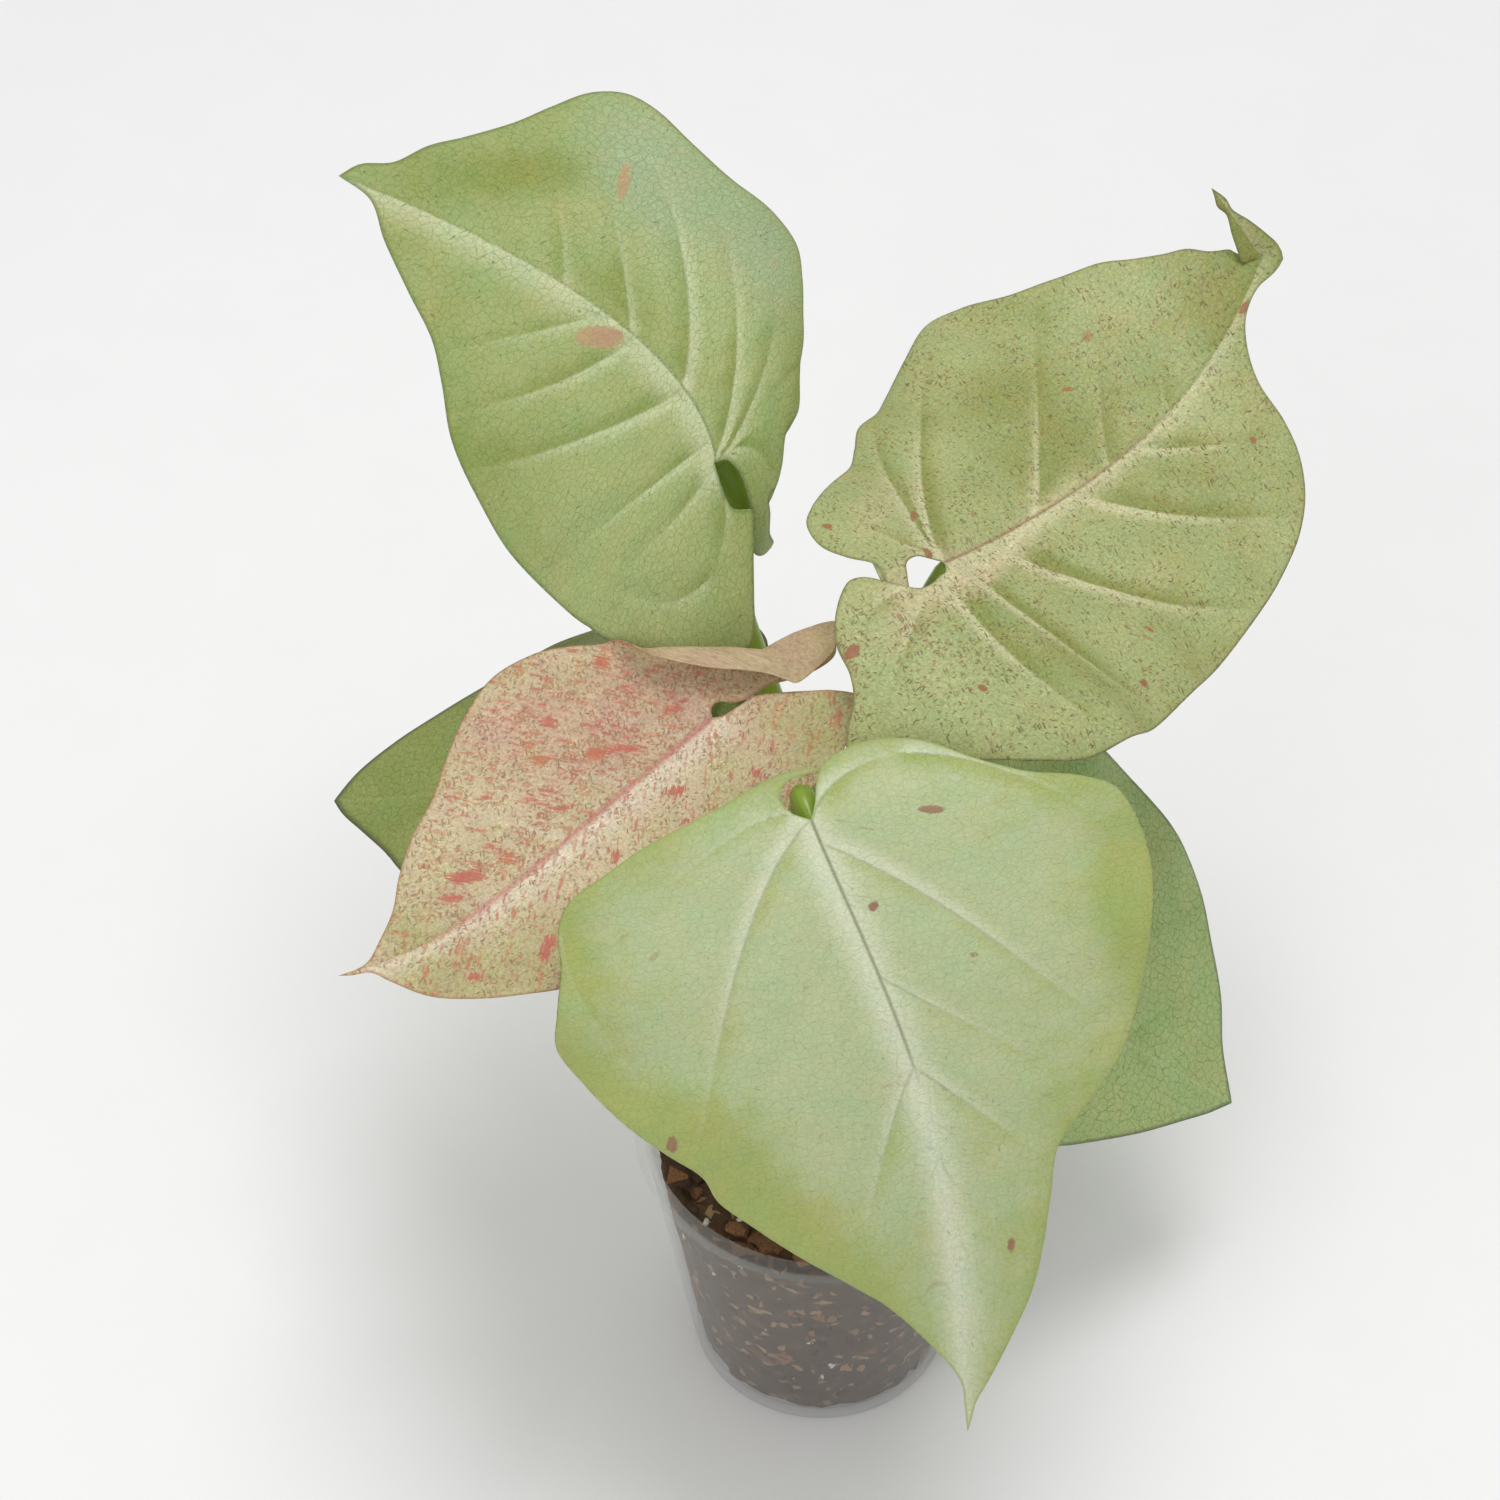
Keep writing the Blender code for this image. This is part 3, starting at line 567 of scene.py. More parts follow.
def blade_rows(leaf, side):
    """Ends of the rows across one half: midrib and sinus edge inside, margin outside."""
    margin = spline(leaf[("left", "right")[side]], OUTLINE_STEP)
    lobe = int(margin[:, 1].argmin())
    rib_rows = round(margin[0, 1] / leaf["row"])
    rib_shares = np.arange(rib_rows + 1) / rib_rows
    rib_y = margin[0, 1] * (1 - rib_shares)
    rib = np.stack([rib_bow(leaf, rib_y), rib_y], axis=1)
    sinus = margin[lobe:][::-1]
    sinus_rows = max(3, round(reach(sinus)[-1] / leaf["row"]))
    sinus_shares = np.arange(1, sinus_rows + 1) / sinus_rows
    inner = np.vstack([rib, spread(sinus, sinus_shares)])
    share = reach(rib)[-1] / (reach(rib)[-1] + reach(sinus)[-1])
    shares = np.concatenate([share * rib_shares, share + (1 - share) * sinus_shares])
    return inner, spread(margin[:lobe + 1], shares), margin


def distance_to(points, line):
    """Distance of points to a line of short pieces, the share of it they are nearest to, and their side."""
    best = np.full(len(points), 1e9)
    share, left = np.zeros(len(points)), np.zeros(len(points))
    far = reach(line)
    for k, (a, b) in enumerate(zip(line, line[1:])):
        step, out = b - a, points - a
        t = np.clip((out @ step) / max(step @ step, 1e-9), 0, 1)
        gap = np.hypot(*(out - t[:, None] * step).T)
        closer = gap < best
        best[closer] = gap[closer]
        share[closer] = ((far[k] + t * (far[k + 1] - far[k])) / far[-1])[closer]
        left[closer] = np.sign(step[0] * out[:, 1] - step[1] * out[:, 0])[closer]
    return best, share, left


def side_veins(leaf, flat, side):
    """How deep each point lies in a side vein's valley, 0 to 1, and its distance from that vein."""
    sign = (-1, 1)[side]
    depth, offset = np.zeros(len(flat)), np.full(len(flat), 9.0)
    for start, bend, end, strength in leaf["veins"][side]:
        if np.isscalar(start):
            start = (sign * rib_bow(leaf, start), start)
        a, b, c = (np.array((sign * x, y), float) for x, y in (start, bend, end))
        line, _ = bezier(a, b, c, np.linspace(0, 1, 15)[:, None])
        gap, share, left = distance_to(flat, line)
        here = strength * (1 - 0.7 * share) * np.exp(-(gap / FOLD_REACH) ** 1.25)
        deeper = here > depth
        depth[deeper] = here[deeper]
        offset[deeper] = (gap * left * sign)[deeper]  # positive on the side of the leaf's tip
    return depth, offset


def patches(flat, spots):
    """How strongly each point lies in the listed oval spots, which may add up or take away."""
    result = np.zeros(len(flat))
    for x, y, long, wide, angle, strength in spots:
        a = math.radians(angle)
        dx, dy = flat[:, 0] - x, flat[:, 1] - y
        along, over = dx * math.cos(a) + dy * math.sin(a), dy * math.cos(a) - dx * math.sin(a)
        result += strength * np.exp(-((along / long) ** 2 + (over / wide) ** 2))
    return result


def blade_lift(leaf, side, flat, marks):
    """How far the upper and the lower face stand off the blade's middle."""
    rib, gap, fold = marks["rib"], marks["margin"], marks["fold"]
    # margin, midrib and the stalk's end stay where both halves meet
    ease = smooth_step(gap / 3) * smooth_step(rib / 1.6) * smooth_step((np.hypot(*flat.T) - 1) / 3.5)
    taper = 1 - 0.75 * np.clip(flat[:, 1] / leaf["length"], 0, 1)
    puff = np.array([noise.noise((x / 3.3, y / 3.3, side)) + 0.35 * noise.noise((x / 1.3, y / 1.3, side + 5))
                     for x, y in flat])
    wave = (PUFF * leaf["relief"] * puff - leaf["pleat"] * fold) * ease
    ridge = taper * np.exp(-(rib / (RIB_WIDTH * (0.4 + 0.6 * taper))) ** 2) * smooth_step(gap / 1.2)
    cord = VEIN_CORD * fold * np.exp(-(marks["offset"] / 0.6) ** 2) * ease
    half = HALF_BLADE * smooth_step(0.3 + 0.6 * gap)
    lifts = np.stack([wave + half - RIB_GROOVE * ridge, wave - half - cord - RIB_DEPTH * ridge])
    lifts[:, gap < 1e-4] = 0  # both faces meet at the margin
    return lifts


def blade_marks(leaf, side, flat, outline):
    """The markings of one half, which both of its faces carry."""
    x, y = flat.T
    rib = np.where(y > 0, np.abs(x - rib_bow(leaf, y)), np.hypot(x, y))
    gap = distance_to(flat, outline)[0]
    fold, offset = side_veins(leaf, flat, side)
    *strength, glow_reach, fade = leaf["glow"]
    faded = 1 - fade * np.clip(y / leaf["length"], 0, 1)
    glow = strength[side] * np.exp(-(rib / glow_reach) ** 1.4) * faded
    base, spots = leaf["dense"]
    return {"rib": rib, "margin": gap, "fold": fold, "offset": offset, "glow": glow,
            "tone": patches(flat, leaf["tone"]) + leaf["edge_tone"] * np.exp(-gap / MARGIN_REACH),
            "warm": patches(flat, leaf["warm"]), "blush": patches(flat, leaf["blush"]),
            "dense": base + patches(flat, spots), "line": np.interp(y, *leaf["line"]),
            "flat": np.stack([x, y, 0 * x], 1),
            "grain": np.stack([np.abs(x) + 60.0 * side, y - leaf["slant"] * np.abs(x), 0 * x], 1)}


def blade_faces(leaf, side, flat, marks):
    """Places of the upper and the lower face of one half."""
    sign = (-1, 1)[side]
    here = blade_points(leaf, flat, side)
    over = (blade_points(leaf, flat + (PROBE * sign, 0), side) - here) * sign
    normal = unit(np.cross(over, blade_points(leaf, flat + (0, PROBE), side) - here))
    crease = (marks["rib"] < 0.01) & (flat[:, 1] > -0.01)
    normal[crease] = blade_frame(leaf, flat[crease, 1], side)[1]
    return [here + normal * lift[:, None] for lift in blade_lift(leaf, side, flat, marks)]


def make_blade(name, leaf):
    """The blade as one closed shell: both faces of both halves, welded at margin and midrib."""
    bm = bmesh.new()
    layers = {key: bm.verts.layers.float.new(key) for key in LEAF_MARKS}
    layers.update({key: bm.verts.layers.float_vector.new(key) for key in ("flat", "grain")})
    columns = leaf["columns"]
    shares = np.linspace(0, 1, columns + 1)
    shares = shares - 0.35 * np.sin(2 * np.pi * shares) / (2 * np.pi)  # closer at midrib and margin
    halves = [blade_rows(leaf, side) for side in (0, 1)]
    for side, (inner, outer, margin) in enumerate(halves):
        other = halves[1 - side][2]
        outline = np.vstack([other[:np.argmax(other[:, 1] < 5)][::-1], margin])
        rows = len(inner) - 1
        row, column = np.divmod(np.arange((rows + 1) * (columns + 1)), columns + 1)
        flat = inner[row] + (outer[row] - inner[row]) * shares[column][:, None]
        marks = blade_marks(leaf, side, flat, outline)
        for under, places in enumerate(blade_faces(leaf, side, flat, marks)):
            marks["under"] = np.full(len(flat), under)
            for vert in bmesh.ops.create_grid(bm, x_segments=rows, y_segments=columns, size=0.5)["verts"]:
                k = round((vert.co.x + 0.5) * rows) * (columns + 1) + round((vert.co.y + 0.5) * columns)
                vert.co = places[k] * MM
                for key, layer in layers.items():
                    vert[layer] = marks[key][k]
    bmesh.ops.remove_doubles(bm, verts=bm.verts, dist=2e-6)
    bmesh.ops.recalc_face_normals(bm, faces=bm.faces)
    return as_object(name, bm, leaf_paint(name, leaf["paint"]))


# Leaf tissue: living leaf under a thin satin skin, with tones, painted light and shade in its pleats, a fine
# net, dashes, streaks and blush. One node group holds it for all six blades, and its patterns lie on the flat
# blade, in millimetres.
TISSUE_SOCKETS = {
    ("INPUT", "Color"): ("Tissue", "Shade", "Milk", "Warm", "Line", "Edge", "Speck", "Fleck", "Blush",
                         "Underside"),
    ("INPUT", "Float"): ("Milkiness", "Pleat", "Net", "Net Scale", "Specks", "Flecks", "Streaks",
                         "Vein Shade Line", "Edge Width", "Line Width", "Mottle"),
    ("OUTPUT", "Color"): ("Color",), ("OUTPUT", "Float"): ("Roughness", "Height")}
# angle, and length and width, of the short dashes
SPECK_SIZES = ((0.4, (1.7, 0.38)), (1.5, (1.2, 0.34)), (2.5, (0.8, 0.4)))
FLECK_SIZES = ((0.9, (1.6, 0.55)), (2.1, (1.0, 0.45)))

leaf_tissue = bpy.data.node_groups.new("leaf_tissue", "ShaderNodeTree")
for (way, kind), keys in TISSUE_SOCKETS.items():
    for key in keys:
        leaf_tissue.interface.new_socket(key, in_out=way, socket_type="NodeSocket" + kind)
tissue_paint = Painter(leaf_tissue)
sockets = leaf_tissue.nodes.new("NodeGroupInput").outputs
given = {socket.name: Wire(tissue_paint, socket) for socket in sockets}
mark, cloud, blend = tissue_paint.mark, tissue_paint.cloud, tissue_paint.blend


def between(value, low, high, top=1.0):
    """Rises softly from 0 to top while the value goes from low to high."""
    return tissue_paint.ramp(value, low, high, 0.0, top, interpolation_type="SMOOTHSTEP")


def most(first, second):
    return tissue_paint.maths("MAXIMUM", first, second)


def scaled(vector, size):
    """A vector counted in marks of the given length and width."""
    return tissue_paint.put("VectorMath", {0: vector, 1: (1 / size[0], 1 / size[1], 1.0)},
                            operation="MULTIPLY")


def shaken(vector, scale, amount):
    """A vector moved about a little, so that a pattern on it looks grown."""
    wobble = cloud(vector, scale, out="Color")
    moved = tissue_paint.put("VectorMath", {0: wobble, 1: (amount, amount, 0)}, operation="MULTIPLY")
    return tissue_paint.put("VectorMath", {0: vector, 1: moved}, operation="ADD")


def dashes(vector, angle, size, share):
    """Short marks of a given length and width, in a share of the cells of a plane."""
    lain = tissue_paint.put("VectorRotate", {"Vector": vector, "Angle": angle}, rotation_type="Z_AXIS")
    cell = tissue_paint.cells(scaled(lain, size), 1.0, voronoi_dimensions="2D")
    pick = tissue_paint.pick(cell.also("Color"))
    return between(cell, 0.38, 0.16) * between(pick + share, 0.97, 1.03) * (pick.also(1) * 0.6 + 0.25)


def net_of(vector, scale):
    """Distance to the nearest vein of a net."""
    return tissue_paint.cells(vector, scale, voronoi_dimensions="2D", feature="DISTANCE_TO_EDGE")


flat, grain = mark("flat", "Vector"), mark("grain", "Vector")
fold, offset = mark("fold"), mark("offset")
patchy = cloud(flat, 0.45, 4.0, 0.65)
fine = cloud(flat, 2.3, 3.0, 0.7)

# tissue, greener along the margin; in each pleat, on the side of the leaf's tip, painted shade where the
# slope turns away from the light
tip_side = between(offset, -0.3, 0.4)
folded = between(fold, 0.1, 0.8)
green = cloud(flat, 0.08, 2.0, 0.55) * 0.8 + patchy * 0.7 + mark("tone")
green = green + folded * tip_side * given["Pleat"]
colour = blend(between(green, 0.6, 1.35), given["Tissue"], given["Shade"])
# warm cream and pink zones; on the back left leaf the same patches are a painted sheen, greyer and bluer,
# over its right half
colour = blend(between(mark("warm") + patchy * 0.5, 0.3, 1.1), colour, given["Warm"])

# pale: milky zones beside the midrib, and painted light in each pleat on the side of the stalk, where the
# slope faces up to the light
feather = cloud(scaled(grain, (1.8, 0.4)), 1.0, 3.0, 0.55) - 0.5
pale = folded * (1.0 - tip_side) * (given["Pleat"] * 0.6 + 0.4)
pale = most(mark("glow"), pale) + feather * 0.4
colour = blend(between(pale, 0.1, 0.9) * given["Milkiness"], colour, given["Milk"])

# fine net of the smallest veins
moved = shaken(flat, 0.8, 1.2)
small = between(net_of(moved, given["Net Scale"] * 2.3), 0.12, 0.0, 0.5)
net = most(between(net_of(moved, given["Net Scale"]), 0.1, 0.0), small)
colour = blend(net * given["Net"] * between(patchy, 0.2, 0.6), colour, given["Speck"])

# short dashes, dark ones and reddish ones, thicker in some places than in others
rough = shaken(flat, 0.9, 0.5)
dense = mark("dense") * (between(cloud(flat, 0.22, 3.0, 0.55), 0.38, 0.66) * 1.3 + 0.3)
for key, tint, sizes in (("Specks", "Speck", SPECK_SIZES), ("Flecks", "Fleck", FLECK_SIZES)):
    layer = 0.0
    share = dense * given[key]
    for angle, size in sizes:
        layer = most(layer, dashes(rough, angle, size, share))
    colour = blend(layer, colour, given[tint])

# blush: torn streaks along the side veins, and single spots
torn = shaken(grain, 1.2, 0.9)
share = dense * given["Streaks"]
streak = most(dashes(torn, 0.0, (3.2, 1.2), share), dashes(torn, 0.15, (1.8, 0.8), share))
ragged = (cloud(flat, 1.3, 4.0, 0.7) - 0.5) * 0.7
tears = (cloud(scaled(grain, (1.7, 0.45)), 1.0, 4.0, 0.55) - 0.5) * (given["Streaks"] * 5.0)
spot = between(mark("blush") + (ragged + tears), 0.4, 0.62) * between(mark("blush"), 0.08, 0.3)
colour = blend(most(streak, spot) * between(fine, 0.1, 0.55), colour, given["Blush"])

# lines of the midrib, the dark one of the back left leaf being painted shadow; painted shade as a thin dark
# line down each side vein's valley; and the thin margin
rib_line = tissue_paint.ramp(mark("rib"), given["Line Width"], 0.05)
valley_shade_line = between(tissue_paint.maths("ABSOLUTE", offset), 0.35, 0.0) * between(fold, 0.35, 0.7)
colour = blend(most(rib_line * mark("line"), valley_shade_line * given["Vein Shade Line"]), colour, given["Line"])
rim = tissue_paint.ramp(mark("margin"), given["Edge Width"], 0.0, 0.0, 0.85)
colour = blend(rim, colour, given["Edge"])

# paler, duller underside, with pale veins that stand out
beneath = blend(patchy * 0.3, given["Underside"], given["Tissue"])
raised = most(between(mark("rib"), 0.9, 0.3), between(fold, 0.5, 0.95, 0.6))
beneath = blend(raised * 0.6, beneath, given["Milk"])
beneath = blend(net * 0.2, beneath, given["Shade"])
colour = blend(mark("under"), colour, beneath)

# last drift of hue and speckle of brightness, the gloss and the low relief
drift = (cloud(flat, 0.14, 2.0, 0.55) - 0.5) * 0.09
speckle = fine - 0.5 + (patchy - 0.5) * 0.5
colour = tissue_paint.put("HueSaturation", {"Color": colour, "Hue": drift + 0.5,
                                            "Value": speckle * given["Mottle"] + 1.0})
dull = patchy * 0.2 + 0.42 + mark("under") * 0.15
raise_by = fine * 0.7 - net * 0.5 - valley_shade_line * 0.4
result = leaf_tissue.nodes.new("NodeGroupOutput").inputs
for key, wire in (("Color", colour), ("Roughness", dull), ("Height", raise_by)):
    leaf_tissue.links.new(wire.socket, result[key])


def leaf_paint(name, looks):
    """Leaf material: the tissue with this leaf's colours, as a screen shows them, and strengths."""
    made, paint = new_paint(name + "_paint", subsurface_weight=0.12, subsurface_scale=0.0006,
                            specular_ior_level=0.42, coat_weight=0.1, coat_roughness=0.38)
    inputs = {key.replace("_", " ").title(): seen(*value) if isinstance(value, tuple) else value
              for key, value in looks.items()}
    tissue = paint.put("Group", inputs, "Color", node_tree=leaf_tissue)
    paint.feed("Base Color", tissue)
    paint.feed("Roughness", tissue.also("Roughness"))
    paint.relief(tissue.also("Height"), 0.5, 0.0002)
    return made


# Leaf stalks: smooth, fleshy and bright green, each tapering from a grooved, sheathing foot beside the
# stem to the place beneath its blade where lobes and midrib meet.
STALK_BASE_RADIUS = 1.9
STALK_TAPER = 0.7  # below 1 a stalk thins sooner
STALK_RISE = 5.0
STALK_SPREAD = 0.4
STALK_RING = 28
STALK_STEP = 0.9
ROUND_END = 1.4  # length of the rounded end under the blade
JOIN_STEP = 1.6
BLADE = 0.7

stalk_skin, paint = new_paint("stalk_skin", roughness=0.36, coat_weight=0.15, coat_roughness=0.25,
                              subsurface_weight=0.15, subsurface_scale=0.001)
place = paint.mark("skin", "Vector")
streaks = paint.cloud(paint.stretched(place, (1, 0.07, 1)), 1.6, 4.0)
green = paint.blend(streaks, seen(104, 134, 20), seen(150, 172, 56))
foot = paint.ramp(paint.put("SeparateXYZ", {0: place}, 1), 14.0, 0.0, 0.0, 0.8)
green = paint.blend(foot, green, seen(184, 190, 132))
flecked = paint.ramp(paint.cloud(place, 2.2, 3.0), 0.62, 0.72, 0.0, 0.35)
paint.feed("Base Color", paint.blend(flecked, green, seen(70, 98, 34)))
paint.relief(streaks, 0.25, 0.0002)


def stalk_path(leaf):
    """The stalk's middle line: up from its foot beside the stem, then on a curve to under the blade."""
    angle = math.radians(leaf["foot"])
    distance = HOLE + STALK_BASE_RADIUS + STALK_SPREAD
    foot = np.array([STEM_AXIS[0] + distance * math.cos(angle), STEM_AXIS[1] + distance * math.sin(angle),
                     SOIL_TOP + GAP])
    joint, up, _ = (value[0] for value in blade_frame(leaf, np.array([JOIN_STEP]), 1))
    below = BLADE / 2 + GAP - 0.1
    route = [foot + (0, 0, STALK_RISE), *leaf["route"], joint - up * leaf["neck"], joint - up * below]
    rise = [foot + (0, 0, z) for z in (0, 0.3, 1.2, 2.4, 3.7)]
    return np.vstack([rise, spline(route, STALK_STEP)])


def make_stalk(name, leaf):
    """A tapering tube round its path, with a groove and two low edges that fade above the sheath."""
    path = stalk_path(leaf)
    rows = len(path) + 1
    far = reach(path)
    side = np.array((*STEM_AXIS, 0)) - path[0] * (1, 1, 0)  # the groove faces the stem
    turns = np.linspace(0, 2 * math.pi, STALK_RING + 1)
    from_groove = np.minimum(turns, 2 * math.pi - turns)
    groove = np.exp(-(from_groove / 0.3) ** 2)
    edges = np.exp(-((from_groove - 0.62) / 0.2) ** 2)
    rings, skins = [np.tile(path[0], (STALK_RING + 1, 1))], [np.zeros((STALK_RING + 1, 3))]
    for point, direction, length in zip(path, unit(np.gradient(path, axis=0)), far):
        side = unit(side - direction * (side @ direction))
        other = np.cross(direction, side)
        share = length / far[-1]
        radius = STALK_BASE_RADIUS + (leaf["top"] - STALK_BASE_RADIUS) * share ** STALK_TAPER
        radius = radius * (0.5 + 0.5 * smooth_step((far[-1] - length) / ROUND_END))
        sheath = 1 - smooth_step(share / 0.4)
        r = radius * (1 - (0.1 + 0.2 * sheath) * groove + 0.14 * sheath * edges)
        rings.append(point + r[:, None] * (np.cos(turns)[:, None] * side + np.sin(turns)[:, None] * other))
        skins.append(np.stack([radius * turns, np.full(len(turns), length), turns * 0], axis=1))
    rings.append(np.tile(path[-1], (STALK_RING + 1, 1)))
    skins.append(skins[-1])
    bm = bmesh.new()
    layer = bm.verts.layers.float_vector.new("skin")
    for vert in bmesh.ops.create_grid(bm, x_segments=rows, y_segments=STALK_RING, size=0.5)["verts"]:
        i, j = round((vert.co.x + 0.5) * rows), round((vert.co.y + 0.5) * STALK_RING)
        vert.co = rings[i][j] * MM
        vert[layer] = skins[i][j]
    bmesh.ops.remove_doubles(bm, verts=bm.verts, dist=1e-6)
    bmesh.ops.recalc_face_normals(bm, faces=bm.faces)
    return as_object(name, bm, stalk_skin)


# Six leaves, each a blade on its stalk, grown one by one below. Beside its place and bend, a leaf has:
#   left, right: the flat outline of each half, from the tip down round the lobe to the stalk
#   veins: side veins of both halves, each with start, bend, end and strength; a start on the midrib is its y
#   glow: the pale zone's strength left and right of the midrib, its reach, and how far it fades to the tip
#   blush, tone, dense and the warm patches: oval patches, each with x, y, length, width, angle and strength;
#       on the back left leaf the warm patches are painted sheen
#   line: strength of the midrib's own line at places along it
USUAL_LEAF = {"row": 0.42, "blush": [], "warm": [], "dense": (1.0, []), "glow": (0.3, 0.3, 2.0, 0.3)}
USUAL_PAINT = {"fleck": (150, 130, 100), "blush": (180, 140, 110)}


def grow(name, **form):
    """Makes one leaf's blade and stalk, ties them to the root body and hides the frame's parts they replace.
    """
    leaf = {**USUAL_LEAF, "face_tip": form["face"], **form, "paint": {**USUAL_PAINT, **form["paint"]}}
    for piece, node, slot in ((make_blade(f"leaf_{name}", leaf), f"blade_{name}", f"leaf_{name}"),
                              (make_stalk(f"leafstalk_{name}", leaf), f"stalk_{name}", "stalk")):
        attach(piece, "root")
        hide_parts(node)


# Back left leaf: the tallest, pale green, milky beside its midrib and pale with painted light on the stalk
# side of each side vein, with two pink spots.
# It faces the front, and its left half curves back to the lower margin.
grow(
    "back_left",
    junction=(-14.6, 40, 130.4), bend=(-22.8, 54, 143.6), tip=(-65, 86, 140.2), length=70, half_width=34,
    face=(0.05, -0.75, 0.7), face_tip=(0.05, -0.7, 0.7), rise=4, arch_base=(30, 120), arch_tip=(20, 20),
    lobe_radius=(40, 14), bow=(1.8, 0.6), wave=(0.8, 17, 0.5), columns=80, relief=1.0, slant=0.7,
    left=[
        (0, 70), (-1.2, 65.5), (-5.5, 61), (-10, 55), (-14, 49), (-18, 45), (-23, 40), (-27, 33),
        (-29.5, 26), (-30, 18), (-29, 9), (-26.5, 0), (-23, -6), (-18, -11), (-13, -15.5), (-8.5, -19.5),
        (-5.6, -20.8), (-4, -19.5), (-2.6, -17), (-0.4, -13.2), (1.6, -10), (2.3, -8.5), (1.2, -7.4),
        (0, -6.3), (-0.5, -4.6), (-0.3, -2), (0, 0)],
    right=[
        (0, 70), (2.7, 68.8), (4.7, 66), (8.8, 64), (12, 61.5), (17, 58.5), (21.4, 57), (26.5, 55.2),
        (29, 52.5), (29.5, 48.5), (28.5, 42), (28, 34), (29.3, 27), (29, 20), (26, 13.5), (23, 8),
        (21, 2.5), (18.3, -3), (15.6, -7.2), (12, -6.5), (9, -9.2), (7, -10.2), (5.3, -10), (4.6, -12),
        (3.4, -14.5), (3.2, -17.8), (1.4, -17.3), (0.1, -14.8), (0.4, -12), (1.8, -9.7), (2.4, -7.6),
        (2.7, -5.4), (2.6, -3.2), (1.6, -1), (0, 0)],
    veins=(
        [(0, (0.6, -9), (8, -9.5), 0.8), ((8, -9.5), (20, -8), (24, 13), 0.6), (0, (12, -2), (25, 4), 0.7),
         (4, (9, 8), (27, 15), 0.9), (15, (9, 19), (26, 36), 1.0), (27, (9, 29.5), (21, 42), 0.9),
         (33, (6, 38.5), (15, 48), 0.8), (45, (4, 49), (10, 56), 0.5)],
        [(0, (8, -1), (7, -9), 0.8), (0, (9, -2), (21, 15), 0.8), (1, (9, 6), (23, 34), 0.9),
         (15.5, (9, 20), (25, 48), 1.0), (28, (6, 33), (20, 50), 0.7), (40, (7, 44.5), (17, 54), 0.6),
         (52, (4, 55), (9, 61), 0.4)]),
    pleat=0.9, glow=(1.15, 0.3, 3.6, 0.3), edge_tone=0.2,
    blush=[(-1.2, 31, 4.4, 1.8, 121, 1.0), (17.4, 43.4, 4, 0.9, 33, 0.9)],
    tone=[
        (12, 52, 14, 4, 130, 0.5), (-24, 30, 16, 4, 110, 0.2), (-23, 37, 9, 3, 120, 0.25),
        (4, 30, 9, 4, 80, 0.4), (14, 20, 12, 9, 60, -0.15), (20, 45, 9, 6, 40, -0.25),
        (-18, 3, 16, 12, 90, -0.45)],
    # painted sheen over the right half, greyer and bluer than the tissue
    warm=[(21, 42, 15, 8, 60, 0.8), (23, 22, 14, 7, 70, 0.75)],
    # its dark midrib line, in the line colour, is painted shadow beside the midrib's pale ridge
    line=((0, 20, 70), (0.7, 0.5, 0.1)),
    paint=dict(
        tissue=(168, 181, 116), shade=(140, 156, 76), milk=(202, 210, 164), warm=(164, 181, 136),
        line=(104, 122, 66), edge=(104, 124, 62), speck=(106, 120, 60), fleck=(150, 120, 90),
        blush=(184, 152, 112), underside=(172, 184, 134), milkiness=0.9, pleat=0.55, net=0.4,
        net_scale=0.85, specks=0.03, vein_shade_line=0.2, edge_width=0.6, line_width=0.28, mottle=0.7),
    foot=105, neck=3.5, top=1.9,
    route=[(-1.6, 14.5, 71), (-3.8, 25, 89), (-8, 31, 98.5), (-12.3, 36.8, 112), (-11.6, 41.3, 122)])


